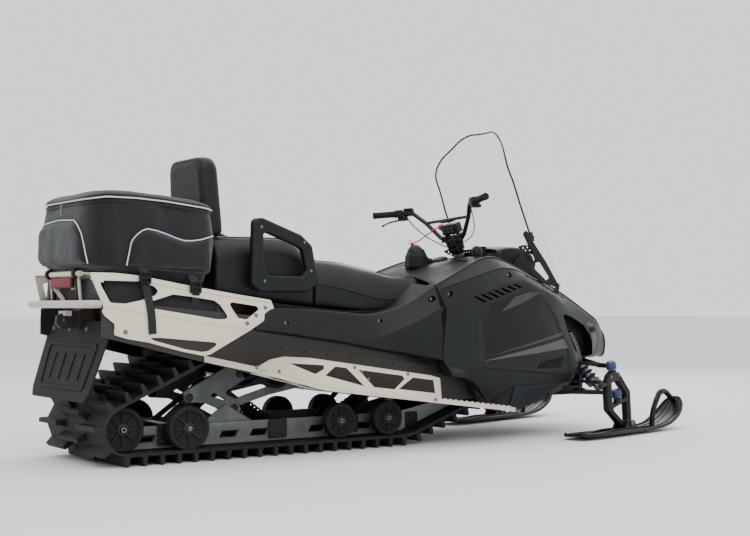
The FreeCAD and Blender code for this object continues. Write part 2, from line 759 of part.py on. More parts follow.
def nose():
    """Front fascia closing the body between the side panels, with a grille opening."""
    last = body_rows[-1]
    x = last[0] + seam
    right = [V(x, -y, z) for y, z in last[1:6]]
    left = [V(x, y, z) for y, z in last[1:6]][::-1]
    outline = right + left + [V(x, 0, last[1][1] + crown_rise)]
    grille = [V(x, -105.0, 470.0), V(x, 105.0, 470.0), V(x, 85.0, 400.0), V(x, -85.0, 400.0)]
    fascia = plate(outline, V(14.0, 0, 0), 0, [(grille, 14)])
    bars = []
    for z in (412.0, 430.0, 448.0):
        bars.append(box((x + 3, x + 10), (-104.0, 104.0), (z, z + 5)))
    frame_only = plate(grille, V(14.0, 0, 0), 14)
    kept = [bar.common(frame_only) for bar in bars]
    return fuse([fascia] + kept)


def belly_pan():
    """Flat pan under the engine between the side panels' lower edges."""
    stations = [602.0, 780.0, 905.0 - seam]
    sections = []
    for x in stations:
        y = row_value(x, 5, 0) - skin
        z = row_value(x, 5, 1)
        sections.append([V(x, -y, z), V(x, y, z), V(x, y, z + skin), V(x, -y, z + skin)])
    return loft(sections)


def console():
    """Dash between the side panels with the steering collar, rounded pod and starter knob."""
    neck = cushion([
        (neck_rear, 700.0, 770.0, 784.0, neck_half, 100.0),
        (200.0, 700.0, 806.0, 824.0, neck_half, 100.0),
        (335.0, 760.0, 850.0, 862.0, neck_half, 100.0),
    ])
    dash_rows = []
    for x in (335.0, 390.0, 590.0 - seam):
        y = row_value(x, 1, 0) - skin
        z = row_value(x, 1, 1) - skin
        dash_rows.append((x, z - 70.0, z, z + 4.0, y, y - 60.0))
    dash = cushion(dash_rows)
    room = [(x + (2.0 if x > 400 else 8.0), low - 10.0, mid - 8.0, high - 8.0, wide - 8.0, top - 8.0)
            for x, low, mid, high, wide, top in dash_rows]
    base = fuse([neck, dash.cut(cushion(room))])
    collar = rod(post_point(-60.0), post_point(8.0), post_r + 17.0)
    bore = rod(post_point(-90.0), post_point(40.0), post_r + running)
    floor_plate = box((400.0, 560.0), (-60.0, 60.0), (812.0, 820.0))
    pod_rows = ((790.0, 40.0), (840.0, 62.0), (890.0, 60.0), (925.0, 42.0), (936.0, 22.0))
    pod = loft([[V(205.0 + r * math.cos(a), r * 0.92 * math.sin(a), z)
                 for a in [math.pi * (k + 0.5) / 5 for k in range(10)]] for z, r in pod_rows])
    knob = fuse([bar((547.0, -100.0, 832.0), (547.0, -100.0, 904.0), 9.0),
                 bar((547.0, -100.0, 902.0), (547.0, -100.0, 946.0), 23.0)])
    return fuse([base, collar, floor_plate, pod, knob]).cut(bore)


def row_value(x, corner, which):
    """Width (0) or height (1) of a body corner at any x."""
    line = [(row[0], row[corner][which]) for row in body_rows]
    return line_z(line, x)


def post_point(along, side=0.0):
    """Point on the steering post's axis, this far above its foot."""
    lean = math.radians(post_lean)
    x, y, z = post_foot
    return (x - along * math.sin(lean), y + side, z + along * math.cos(lean))


def turned(shape, base, axis):
    """The shape turned with the parked steering."""
    copy = shape.copy()
    copy.rotate(V(*base), V(*axis), parked_turn)
    return copy


post_axis = (-math.sin(math.radians(post_lean)), 0.0, math.cos(math.radians(post_lean)))
kingpin_run = math.hypot(upper_ball[0] - lower_ball[0], upper_ball[1] - lower_ball[1])
kingpin_axis = ((upper_ball[0] - lower_ball[0]) / kingpin_run, 0.0,
                (upper_ball[1] - lower_ball[1]) / kingpin_run)


def kingpin_point(along, back=0.0, side=0.0):
    """Point near the right kingpin: along its axis from the lower ball, back, sideways."""
    ax, _, az = kingpin_axis
    return (lower_ball[0] + ax * along - az * back, -kingpin_y + side,
            lower_ball[1] + az * along + ax * back)


# Kingpin stations, measured along its axis from the lower ball
lower_lug = (-52.0, -26.0)
lower_eye = (-20.0, 18.0)
upper_lug = (94.0, 120.0)
upper_eye = (kingpin_run - 18.0, kingpin_run + 16.0)
eye_r = 24.0
arm_r = 11.5
pivot_y = 214.0
pivot_r = 14.0
bulkhead_y = 200.0
stem_y = -430.0

bar_r = 11.0
bar_line = [(281.0, -370.0, 1138.0), (361.0, -210.0, 1136.0), (446.0, -66.0, 998.0),
            (446.0, 66.0, 998.0), (361.0, 210.0, 1136.0), (281.0, 370.0, 1138.0)]


def handlebar():
    """Post, riser block and high bar with its crossbar."""
    high_bar = tube(bar_line, bar_r, 20.0)
    cross = bar((400.0, -140.0, 1074.0), (400.0, 140.0, 1074.0), 8.0)
    post = rod(post_point(-80.0), post_point(70.0), post_r)
    riser = loft([
        [V(*post_point(44.0, s)) + V(d, 0, 0) for s, d in
         ((-22.0, -22.0), (22.0, -22.0), (22.0, 22.0), (-22.0, 22.0))],
        [V(*post_point(138.0, s)) + V(d, 0, 0) for s, d in
         ((-48.0, -26.0), (48.0, -26.0), (48.0, 26.0), (-48.0, 26.0))],
    ])
    pad = side_plate_shape([(392.0, 1056.0), (384.0, 1092.0), (410.0, 1098.0), (440.0, 1020.0),
                            (452.0, 985.0), (430.0, 985.0)], -30.0, 60.0)
    return turned(fuse([high_bar, cross, post, riser, pad]), post_foot, post_axis)


def hand_controls():
    """Grips, switch blocks and levers on the bar's ends."""
    solids = []
    for side in (-1, 1):
        tip = V(281.0, side * 370.0, 1138.0)
        root = V(361.0, side * 210.0, 1136.0)
        u = (root - tip).normalize()
        grip = bar(tip - u * 3, tip + u * 118, 16.5, 12)
        across = V(-u.y, u.x, 0)
        up = u.cross(across) * 18.0
        corners = [across * 20.0 + up, across * -20.0 + up, across * -20.0 - up, across * 20.0 - up]
        block = loft([[tip + u * w + c for c in corners] for w in (121.0, 152.0)])
        mount = tip + u * 136 + V(14.0, 0, -4.0)
        elbow = mount + V(42.0, -side * 6.0, -8.0)
        reach = tip + u * 20 + V(58.0, 0, -26.0)
        lever = loft([[p + V(-5.0, 0, -5.0), p + V(5.0, 0, -5.0), p + V(5.0, 0, 5.0), p + V(-5.0, 0, 5.0)]
                      for p in (mount, elbow, reach)])
        bore = rod(tip - u * 10, tip + u * 156, bar_r + seam)
        solids.append(grip.cut(bore))
        solids.append(fuse([block, lever]).cut(bore))
    return turned(Part.makeCompound(solids), post_foot, post_axis)


def spindle():
    """Two-legged spindle, straight ahead: the legs join at the head and over the ski bolt."""
    half = 18.0
    outline = [(988.0, 262.0), (1012.0, 300.0), (1038.0, 316.0), (1100.0, 312.0), (1196.0, 212.0),
               (1196.0, 30.0), (1114.0, 30.0), (988.0, 126.0)]
    upper_window = [(1036.0, 262.0), (1090.0, 262.0), (1150.0, 200.0), (1150.0, 186.0),
                    (1036.0, 156.0)]
    lower_window = [(1036.0, 136.0), (1150.0, 166.0), (1150.0, 78.0), (1110.0, 78.0)]
    plate_shape = side_plate_shape(outline, -kingpin_y - half, 2 * half,
                                   [0, 0, 0, 0, 0, 12, 12, 0],
                                   [(upper_window, 0), (lower_window, 0)])
    room = rod(kingpin_point(lower_eye[0] - 6.0), kingpin_point(lower_eye[1] + 8.0), eye_r + 7.0)
    lugs = [rod(kingpin_point(a), kingpin_point(b), 21.0) for a, b in (lower_lug, upper_lug)]
    arm = plate([V(*kingpin_point(66.0, 0.0, -16.0)), V(*kingpin_point(66.0, 0.0, 16.0)),
                 V(*kingpin_point(66.0, -steer_arm[0] + 13, 12.0)),
                 V(*kingpin_point(66.0, -steer_arm[0] + 13, -12.0))],
                V(*kingpin_axis) * 12.0, [0, 0, 8, 8])
    pin = rod(kingpin_point(70.0, -steer_arm[0]), kingpin_point(104.0, -steer_arm[0]), tie_pin_r)
    bolt = rod((ski_bolt[0], -kingpin_y - 46.0, ski_bolt[1]),
               (ski_bolt[0], -kingpin_y + 46.0, ski_bolt[1]), ski_bolt_r)
    bores = [rod(kingpin_point(a - 4.0), kingpin_point(b + 4.0), stud_r + running)
             for a, b in (lower_lug, upper_lug)]
    solid = fuse([plate_shape.cut(room)] + lugs + [arm, pin, bolt])
    return solid.cut(Part.makeCompound(bores))


def ski():
    """Plastic ski, straight ahead: sole, side ribs, keel, saddle, turned-up tip and loop."""
    half = 82.0
    sole_z = 10.0
    sole_thick = 8.0
    side_view = [(700.0, sole_z + 10), (730.0, sole_z), (1300.0, sole_z), (1380.0, sole_z + 5),
                 (1480.0, 30.0), (1570.0, 67.0), (1640.0, 122.0), (1668.0, 158.0), (1660.0, 166.0),
                 (1632.0, 131.0), (1564.0, 76.0), (1477.0, 38.5), (1378.0, sole_z + 13),
                 (1300.0, sole_z + sole_thick), (730.0, sole_z + sole_thick),
                 (700.0, sole_z + 2 * sole_thick)]
    bent = side_plate_shape(side_view, -kingpin_y - half, 2 * half)
    plan = [V(690.0, -kingpin_y - 62.0, -5.0), V(690.0, -kingpin_y + 62.0, -5.0),
            V(800.0, -kingpin_y + half, -5.0), V(1480.0, -kingpin_y + half, -5.0),
            V(1680.0, -kingpin_y + 60.0, -5.0), V(1680.0, -kingpin_y - 60.0, -5.0),
            V(1480.0, -kingpin_y - half, -5.0), V(800.0, -kingpin_y - half, -5.0)]
    sole = bent.common(plate(plan, V(0, 0, 220.0), [0, 0, 0, 0, 55, 55, 0, 0]))
    keel = side_plate_shape([(800.0, 0.0), (1300.0, 0.0), (1400.0, 20.0), (1300.0, 14.0),
                             (760.0, 14.0)], -kingpin_y - 11.0, 22.0)
    ribs = []
    for side in (-1, 1):
        y = -kingpin_y + side * 40.0
        ribs.append(side_plate_shape([(760.0, 16.0), (1380.0, 16.0), (1300.0, 34.0), (1000.0, 34.0)],
                                     y - 5.0, 10.0))
        ears = side_plate_shape([(1090.0, 16.0), (1220.0, 16.0), (1180.0, 68.0), (1130.0, 68.0)],
                                -kingpin_y + side * 33.0 - 9.0, 18.0)
        ribs.append(ears)
    bore = rod((ski_bolt[0], -kingpin_y - 60.0, ski_bolt[1]),
               (ski_bolt[0], -kingpin_y + 60.0, ski_bolt[1]), ski_bolt_r + running)
    loop_out = [(1396.0, 22.0), (1424.0, 108.0), (1490.0, 194.0), (1530.0, 208.0), (1576.0, 203.0),
                (1656.0, 150.0), (1632.0, 126.0)]
    loop_in = [(1420.0, 27.0), (1446.0, 98.0), (1505.0, 174.0), (1532.0, 184.0), (1566.0, 181.0),
               (1626.0, 138.0), (1568.0, 80.0), (1478.0, 42.0)]
    loop_low = [(1568.0, 74.0), (1478.0, 36.0)]
    loop = side_plate_shape(loop_out + loop_low, -kingpin_y - 12.0, 24.0, 0, [(loop_in, 0)])
    return fuse([sole, keel] + ribs + [loop]).cut(bore)


def tie_rod():
    """Rod from the spindle's arm into the front frame, straight ahead."""
    eye = rod(kingpin_point(82.0, -steer_arm[0]), kingpin_point(98.0, -steer_arm[0]), 13.0)
    start = kingpin_point(90.0, -steer_arm[0], 8.0)
    end = (start[0], -110.0, start[2])
    bore = rod(kingpin_point(70.0, -steer_arm[0]), kingpin_point(110.0, -steer_arm[0]),
               tie_pin_r + running)
    return fuse([eye, bar(start, end, 8.5)]).cut(bore)


def save_steered(name, straight, base_point, axis):
    """Both sides of a steered piece, modelled straight ahead and parked turned."""
    save(name + "_r", turned(straight, base_point, axis))
    bx, by, bz = base_point
    save(name + "_l", turned(mirrored(straight), (bx, -by, bz), axis))


def tie_rod_parked():
    """The rods keep their direction: they move with the arm's end but don't turn."""
    eye = V(*kingpin_point(90.0, -steer_arm[0]))
    foot = V(*kingpin_point(90.0))
    spin = FreeCAD.Rotation(V(*kingpin_axis), parked_turn)
    shift = spin.multVec(eye - foot) - (eye - foot)
    right = tie_rod()
    left = mirrored(right)
    right.translate(shift)
    left.translate(shift)
    return right, left


def front_arms():
    """Upper and lower arms of both sides: eyes with their studs, stems, legs, pivot tubes."""
    table = [
        (lower_eye, lower_lug, 206.0, ((948.0, 203.0), (1118.0, 203.0))),
        (upper_eye, upper_lug, 346.0, ((926.0, 372.0), (1122.0, 366.0))),
    ]
    solids = []
    for eye, lug, stem_z, inner in table:
        middle = (eye[0] + eye[1]) / 2
        ex, ey, ez = kingpin_point(middle)
        stud_end = lug[0] + 3.0
        stem_end = stem_y + arm_r
        parts = [rod(kingpin_point(eye[0]), kingpin_point(eye[1]), eye_r),
                 rod(kingpin_point(stud_end), kingpin_point(middle), stud_r),
                 box((ex - 16.0, ex + 16.0), (ey, stem_end), (ez - arm_r, ez + arm_r))]
        for side, (px, pz) in zip((-1, 1), inner):
            lean = V(px, -pivot_y - 4.0, pz) - V(ex, stem_y, ez)
            across = V(-lean.y, lean.x, 0).normalize() * 10.0
            start = V(ex + side * 5.0, stem_y, ez - 9.0)
            parts.append(plate([start - across, start + across, start + lean + across,
                                start + lean - across], V(0, 0, 18.0)))
            parts.append(box((px - 22.0, px + 22.0), (-pivot_y - pivot_r, pivot_r - pivot_y),
                             (pz - pivot_r, pz + pivot_r)))
        solids.append(fuse(parts))
    return Part.makeCompound(solids + [mirrored(s) for s in solids])


def front_shocks():
    """Front dampers from the lower arms up into the front frame."""
    eye = 12.0
    low = V(1066.0, -400.0, 206.0 + arm_r + eye + seam)
    high = V(1020.0, -(bulkhead_y + eye + seam), 412.0)
    u = (high - low).normalize()
    parts = [bar(low, high, 9.0), bar(low + u * 44, high - u * 30, 25.0, 14)]
    for end in (low, high):
        parts.append(box((end.x - 14, end.x + 14), (end.y - eye, end.y + eye), (end.z - eye, end.z + eye)))
    shape = fuse(parts)
    return Part.makeCompound([shape, mirrored(shape)])


def bulkhead():
    """Front frame: two side plates with lightening windows, joined by cross plates."""
    side_outline = [(905.0, 186.0), (1150.0, 186.0), (1150.0, 386.0), (1090.0, 430.0),
                    (905.0, 430.0)]
    rod_window = [(914.0, 236.0), (1008.0, 236.0), (1008.0, 312.0), (914.0, 312.0)]
    front_window = [(1030.0, 230.0), (1128.0, 230.0), (1128.0, 330.0), (1030.0, 330.0)]
    right = side_plate_shape(side_outline, -bulkhead_y, 6.0, 0, [(rod_window, 0), (front_window, 0)])
    cross = []
    for x, low, high in ((905.0, 186.0, 430.0), (1144.0, 186.0, 386.0)):
        cross.append(box((x, x + 6.0), (6.0 - bulkhead_y, bulkhead_y - 6.0), (low, high)))
    floor_shape = box((905.0, 1150.0), (6.0 - bulkhead_y, bulkhead_y - 6.0), (186.0, 192.0))
    return fuse([right, mirrored(right)] + cross + [floor_shape])


def engine():
    """One plain block at the engine's place, standing on the pan."""
    rear = tunnel_front_x + seam
    low = [(x, row_value(x, 5, 1) + skin + seam) for x in (rear, 780.0, 860.0)]
    return side_plate_shape(low + [(860.0, 560.0), (760.0, 660.0), (rear, 660.0)], -190.0, 380.0)


def chaincase():
    """Rounded case on the tunnel's right side, seen through the arch."""
    outline = []
    for cx, cz, r, a0, a1 in ((352.0, 290.0, 112.0, -200.0, 20.0), (450.0, 500.0, 100.0, 20.0, 160.0)):
        for k in range(5):
            a = math.radians(a0 + (a1 - a0) * k / 4)
            outline.append((cx + r * math.cos(a), cz + r * math.sin(a)))
    case = side_plate_shape(outline, -case_y, case_y - tunnel_half - seam, 60)
    boss = bar((drive_x - 20.0, -case_y - 16.0, drive_z - 30.0),
               (drive_x - 20.0, -case_y + 1.0, drive_z - 30.0), 34.0)
    return fuse([case, boss])


def hood_point(x, share, out):
    """Point on the hood: share 0 is the middle, 1 the right shoulder; out is above it."""
    y = row_value(x, 1, 0) - 5.0
    z = row_value(x, 1, 1) - 1.0
    return V(x, -y * share, z + crown_rise * (1 - share) + out)


def headlight():
    """Two lenses lying on the hood's front slope."""
    sections = []
    for x in (1216.0, 1332.0):
        sections.append([hood_point(x, 0.22, seam), hood_point(x, 0.9, seam),
                         hood_point(x, 0.86, 7.0), hood_point(x, 0.26, 7.0)])
    lens = loft(sections)
    return Part.makeCompound([lens, mirrored(lens)])


def instrument_hood():
    """Visor over the instruments, open to the rear."""
    base = [(592.0, row_value(592.0, 1, 1)), (780.0, row_value(780.0, 1, 1)),
            (842.0, row_value(842.0, 1, 1))]
    low = [(x, z - 1.0 + crown_rise + seam) for x, z in base]
    outline = low + [(838.0, 905.0), (806.0, 932.0), (759.0, 947.0), (691.0, 951.0), (600.0, 936.0)]
    visor = side_plate_shape(outline, -172.0, 344.0, [0, 0, 0, 20, 30, 60, 60, 0])
    inside = [(580.0, low[0][1] + 6.0), (780.0, low[1][1] + 6.0), (832.0, low[2][1] + 6.0),
              (828.0, 900.0), (800.0, 922.0), (756.0, 939.0), (691.0, 943.0), (580.0, 928.0)]
    hollow = side_plate_shape(inside, -166.0, 332.0)
    return visor.cut(hollow)


# Windshield centre line: height, x in the middle, sweep back at the edges
glass_rows = [(655.0, 1165.0, 300.0), (830.0, 1112.0, 330.0), (998.0, 1034.0, 340.0),
              (1263.0, 862.0, 285.0), (1400.0, 760.0, 260.0), (1545.0, 640.0, 240.0)]
glass_half = 300.0
glass_edge = 299.0
glass_thick = 6.0


def windshield():
    """Clear wrapped sheet with a rounded top."""
    across = (-300.0, -245.0, -175.0, -90.0, 0.0, 90.0, 175.0, 245.0, 300.0)
    sections = []
    for z, middle, sweep in glass_rows:
        front = [V(middle - sweep * (y / glass_half) ** 2, y, z) for y in across]
        back = [p - V(glass_thick, 0, 0) for p in front[::-1]]
        sections.append(front + back)
    sheet_shape = loft(sections)
    outline = [V(400.0, -160.0, 656.0), V(400.0, 160.0, 656.0), V(400.0, glass_edge, 745.0),
               V(400.0, glass_edge, 1150.0), V(400.0, 290.0, 1390.0), V(400.0, 120.0, 1541.0),
               V(400.0, -120.0, 1541.0), V(400.0, -290.0, 1390.0), V(400.0, -glass_edge, 1150.0),
               V(400.0, -glass_edge, 745.0)]
    radius = [60, 60, 40, 300, 220, 200, 200, 220, 300, 40]
    return sheet_shape.common(plate(outline, V(900.0, 0, 0), radius))


def windshield_mount():
    """Side brackets of the windshield with their feet on the hood's shoulders."""
    y = -glass_edge - 6.0 - seam
    front_bar = side_plate_shape([(652.0, 1016.0), (680.0, 1016.0), (893.0, 756.0), (862.0, 745.0)],
                                 y, 6.0)
    low_bar = side_plate_shape([(588.0, 922.0), (606.0, 944.0), (884.0, 764.0), (866.0, 742.0)],
                               y, 6.0)
    strut = side_plate_shape([(776.0, 900.0), (794.0, 880.0), (752.0, 818.0), (728.0, 834.0)], y, 6.0)
    back, front = 846.0, 874.0
    rest = [(x, row_value(x, 1, 1) + 3.0) for x in (back, front)]
    foot = side_plate_shape(rest + [(x, z + 8.0) for x, z in rest[::-1]], y, 66.0)
    pad = box((back, front), (-266.0, -240.0), (690.0, 718.0))
    ankle = side_plate_shape(rest + [(884.0, 764.0), (862.0, 748.0)], y, 6.0)
    shape = fuse([front_bar, low_bar, strut, ankle, foot, pad]).cut(hood_probe())
    return Part.makeCompound([shape, mirrored(shape)])


def hood_probe():
    """Room that the hood and shoulder take under the bracket's foot."""
    sections = []
    for x in (780.0, 920.0):
        sections.append([hood_point(x, 1.0, seam), hood_point(x, 0.0, seam),
                         hood_point(x, 0.0, -60.0), hood_point(x, 1.0, -60.0)])
    return loft(sections)


def skid_rail():
    """Right slide rail along the belt's inner face, with lightening windows."""
    flat = belt_inside_z + rail_gap
    runs = belt_runs()
    (sx, sz), (ex, ez), _ = runs[1]
    slope = (ez - sz) / (ex - sx)
    corner_x = sx - (sz - belt_inside_z) / slope
    low = [(rear_wheel_x, flat), (corner_x, flat), (rail_front_x, flat + slope * (rail_front_x - corner_x))]
    rise = rail_high
    outline = low + [(rail_front_x - 14.0, low[2][1] + 34.0), (corner_x - 8.0, flat + rise),
                     (rail_rear_x + 90.0, flat + rise), (rail_rear_x + 60.0, rear_wheel_z + 24.0),
                     (rail_rear_x, rear_wheel_z + 24.0), (rail_rear_x, rear_wheel_z - 30.0)]
    windows = []
    for x in (-1400.0, -1290.0, -1010.0, -860.0, -560.0, -300.0):
        windows.append(([(x, flat + 26.0), (x + 84.0, flat + 26.0), (x + 100.0, flat + 56.0),
                         (x + 16.0, flat + 56.0)], 0))
    return side_plate_shape(outline, -rail_y, rail_thick, [0, 260, 0, 0, 200, 0, 0, 0, 0], windows)


def skid_frame():
    """Cross bars between the slide rails, the two swinging arms and their shocks."""
    inner = rail_y - rail_thick - seam
    shaft = tunnel_half - sheet - seam
    front_pivot = (60.0, 352.0)
    arm_y = 130.0
    solids = [bar((front_pivot[0], -shaft, front_pivot[1]), (front_pivot[0], shaft, front_pivot[1]), 12.0)]
    for x, z in ((-1230.0, 100.0), (-640.0, 100.0), (-330.0, 100.0)):
        solids.append(bar((x, -inner, z), (x, inner, z), 12.0))
    for side in (-1, 1):
        y = side * arm_y
        solids.append(tube([(front_pivot[0], y, front_pivot[1]), (-160.0, y, 250.0), (-330.0, y, 100.0)],
                           13.0, 120))
        y -= side * 16.0
        solids.append(tube([(carrier_x, y, carrier_z), (-930.0, y, 306.0), (-1230.0, y, 100.0)],
                           12.0, 100))
    solids.append(bar((-640.0, 0.0, 100.0), (-800.0, 0.0, 210.0), 24.0, 12))
    solids.append(bar((-330.0, 0.0, 100.0), (-60.0, 0.0, 250.0), 22.0, 12))
    solids.append(bar((-148.0, -arm_y, 256.0), (-148.0, arm_y, 256.0), 9.0))
    solids.append(bar((-912.0, 16.0 - arm_y, 310.0), (-912.0, arm_y - 16.0, 310.0), 9.0))
    solids.append(side_plate_shape([(-920.0, 318.0), (-790.0, 226.0), (-790.0, 196.0), (-920.0, 290.0)],
                                   -8.0, 16.0))
    solids.append(side_plate_shape([(-148.0, 264.0), (-40.0, 266.0), (-40.0, 240.0), (-148.0, 246.0)],
                                   -8.0, 16.0))
    carrier_room = rod((carrier_x, -340.0, carrier_z), (carrier_x, 340.0, carrier_z), axle_r + seam)
    return fuse(solids).cut(carrier_room)


def cargo_bag():
    """Closed bag on the rack with a domed lid."""
    return cushion([
        (-1652.0, 800.0, 985.0, 1015.0, 285.0, 235.0),
        (-1610.0, 790.0, 1020.0, 1068.0, 298.0, 255.0),
        (-1400.0, 772.0, 1035.0, 1100.0, 300.0, 258.0),
        (-1170.0, 736.0, 1025.0, 1066.0, 300.0, 255.0),
        (-1096.0, 724.0, 960.0, 1004.0, 290.0, 240.0),
    ])


def main():
    save("track", track())
    save("track_wheels", track_wheels())
    save("drive_axle", drive_axle())
    save("skid_frame", skid_frame())
    save_pair("skid_rail", skid_rail())
    save("tunnel", tunnel())
    save_pair("running_board", running_board())
    save_pair("side_plate", rear_side_plate())
    save("rear_bumper", rear_bumper())
    save("cargo_rack", cargo_rack())
    save("tail_light", tail_light())
    save("snow_flap", snow_flap())
    save("tow_hitch", tow_hitch())
    save("rider_seat", rider_seat())
    save("passenger_seat", passenger_seat())
    save("seat_base", seat_base())
    save("backrest", backrest())
    grip = hand_grip()
    save("hand_grips", Part.makeCompound([grip, mirrored(grip)]))
    save_pair("side_cover", side_cover())
    save("cargo_bag", cargo_bag())
    save_pair("side_panel", side_panel())
    save("hood", hood())
    save("nose", nose())
    save("headlight", headlight())
    save("belly_pan", belly_pan())
    save("bulkhead", bulkhead())
    save("front_arms", front_arms())
    save("front_shocks", front_shocks())
    save("engine", engine())
    save("chaincase", chaincase())
    save("console", console())
    save("instrument_hood", instrument_hood())
    save("windshield", windshield())
    save("windshield_mount", windshield_mount())
    save("handlebar", handlebar())
    save("hand_controls", hand_controls())
    lower_point = kingpin_point(0.0)
    save_steered("spindle", spindle(), lower_point, kingpin_axis)
    save_steered("ski", ski(), lower_point, kingpin_axis)
    right, left = tie_rod_parked()
    save("tie_rod_r", right)
    save("tie_rod_l", left)


main()
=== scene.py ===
"""Looks of the utility snowmobile: materials, soft goods, trim, light and camera."""
import bpy
import bmesh
import json
import math
from mathutils import Matrix, Vector, noise
from mathutils.bvhtree import BVHTree


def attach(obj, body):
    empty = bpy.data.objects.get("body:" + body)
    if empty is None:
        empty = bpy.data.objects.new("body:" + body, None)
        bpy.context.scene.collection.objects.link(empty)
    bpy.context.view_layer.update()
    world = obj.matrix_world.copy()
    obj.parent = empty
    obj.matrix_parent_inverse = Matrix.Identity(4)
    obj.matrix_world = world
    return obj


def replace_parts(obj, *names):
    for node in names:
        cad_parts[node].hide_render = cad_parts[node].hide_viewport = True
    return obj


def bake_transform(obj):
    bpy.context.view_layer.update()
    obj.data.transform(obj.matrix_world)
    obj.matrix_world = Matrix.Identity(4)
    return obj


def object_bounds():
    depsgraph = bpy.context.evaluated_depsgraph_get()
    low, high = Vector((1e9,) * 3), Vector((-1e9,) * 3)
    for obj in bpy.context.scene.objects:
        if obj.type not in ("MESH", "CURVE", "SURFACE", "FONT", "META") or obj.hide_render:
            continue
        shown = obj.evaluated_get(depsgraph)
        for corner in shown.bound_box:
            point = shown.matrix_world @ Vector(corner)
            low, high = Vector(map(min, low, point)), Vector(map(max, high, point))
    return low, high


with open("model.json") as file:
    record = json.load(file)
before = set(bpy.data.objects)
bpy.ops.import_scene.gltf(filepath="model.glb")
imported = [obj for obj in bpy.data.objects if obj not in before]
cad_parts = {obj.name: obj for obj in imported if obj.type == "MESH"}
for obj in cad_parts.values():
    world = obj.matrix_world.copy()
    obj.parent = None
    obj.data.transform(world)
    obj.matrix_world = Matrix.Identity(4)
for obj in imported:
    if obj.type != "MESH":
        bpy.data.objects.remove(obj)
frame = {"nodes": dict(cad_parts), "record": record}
cad_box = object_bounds()
nodes = frame["nodes"]
metres = Matrix.Scale(0.001, 4)
slot_of = {}


# Materials

def linear(colour):
    """Screen colour 0-255 to the shader's linear values."""
    return tuple((c / 255 / 12.92) if c / 255 <= 0.04045 else ((c / 255 + 0.055) / 1.055) ** 2.4
                 for c in colour)


def new_material(name, slot, settings):
    """Material and its shader, with functions that fill a node's inputs and that add a node."""
    material = bpy.data.materials.new(name)
    material.use_nodes = True
    tree = material.node_tree
    slot_of[material.name] = slot

    def fill(node, inputs):
        for key, value in inputs.items():
            if isinstance(value, bpy.types.NodeSocket):
                tree.links.new(value, node.inputs[key])
            else:
                node.inputs[key].default_value = value
        return node

    def add(kind, inputs, result):
        return fill(tree.nodes.new("ShaderNode" + kind), inputs).outputs[result]

    return material, fill(tree.nodes["Principled BSDF"], settings), fill, add


def surface(name, colour, rough, metal=0.0, spread=0.12, spots=9.0, grain=700.0, depth=0.0004, bump=0.25,
            cells=False, weave=0.0, worn=None, coat=0.0, sheen=0.0, shine=0.5, slot="body_plastic"):
    """Painted, moulded or woven surface: mottled colour, uneven gloss, fine relief, worn edges."""
    material, shader, fill, add = new_material(name, slot, {
        "Metallic": metal, "Coat Weight": coat, "Sheen Weight": sheen, "Specular IOR Level": shine})
    where = add("TexCoord", {}, "Object")
    mottle = add("TexNoise", {"Scale": spots, "Detail": 6.0, "Vector": where}, "Fac")
    look = add("ValToRGB", {"Fac": mottle}, "Color")
    for element, at, share in zip(look.node.color_ramp.elements, (0.3, 0.7), (1 - spread, 1 + spread)):
        element.position = at
        element.color = tuple(min(1, c * share) for c in linear(colour)) + (1,)
    if worn:
        edge = add("NewGeometry", {}, "Pointiness")
        edge = add("MapRange", {"From Min": 0.53, "From Max": 0.62, "To Max": 0.7, "Value": edge}, "Result")
        look = add("MixRGB", {"Color2": linear(worn) + (1,), "Fac": edge, "Color1": look}, "Color")
    gloss = add("TexNoise", {"Scale": spots * 5, "Detail": 4.0, "Vector": where}, "Fac")
    low, high = max(0.05, rough - 0.09), min(1.0, rough + 0.09)
    gloss = add("MapRange", {"To Min": low, "To Max": high, "Value": gloss}, "Result")
    if weave:
        waves = []
        for axis in "XYZ":
            waves.append(add("TexWave", {"Scale": weave, "Distortion": 0.6, "Vector": where}, "Fac"))
            waves[-1].node.bands_direction = axis
        height = waves[0]
        for wave in waves[1:]:
            height = add("Math", {0: height, 1: wave}, "Value")
    else:
        kind, result = ("TexVoronoi", "Distance") if cells else ("TexNoise", "Fac")
        height = add(kind, {"Scale": grain, "Vector": where}, result)
    relief = add("Bump", {"Strength": bump, "Distance": depth, "Height": height}, "Normal")
    fill(shader, {"Base Color": look, "Roughness": gloss, "Normal": relief})
    return material


def clear(name, tint, rough, alpha, slot):
    """Clear moulded sheet with faint streaks in its gloss."""
    material, shader, fill, add = new_material(name, slot, {
        "Base Color": linear(tint) + (1,), "Alpha": alpha, "IOR": 1.45})
    where = add("TexCoord", {}, "Object")
    streaks = add("TexNoise", {"Scale": 7.0, "Detail": 5.0, "Vector": where}, "Fac")
    gloss = add("MapRange", {"To Min": rough, "To Max": rough + 0.12, "Value": streaks}, "Result")
    ripples = add("TexNoise", {"Scale": 3.0, "Vector": where}, "Fac")
    relief = add("Bump", {"Strength": 0.15, "Distance": 0.002, "Height": ripples}, "Normal")
    fill(shader, {"Roughness": gloss, "Normal": relief})
    return material


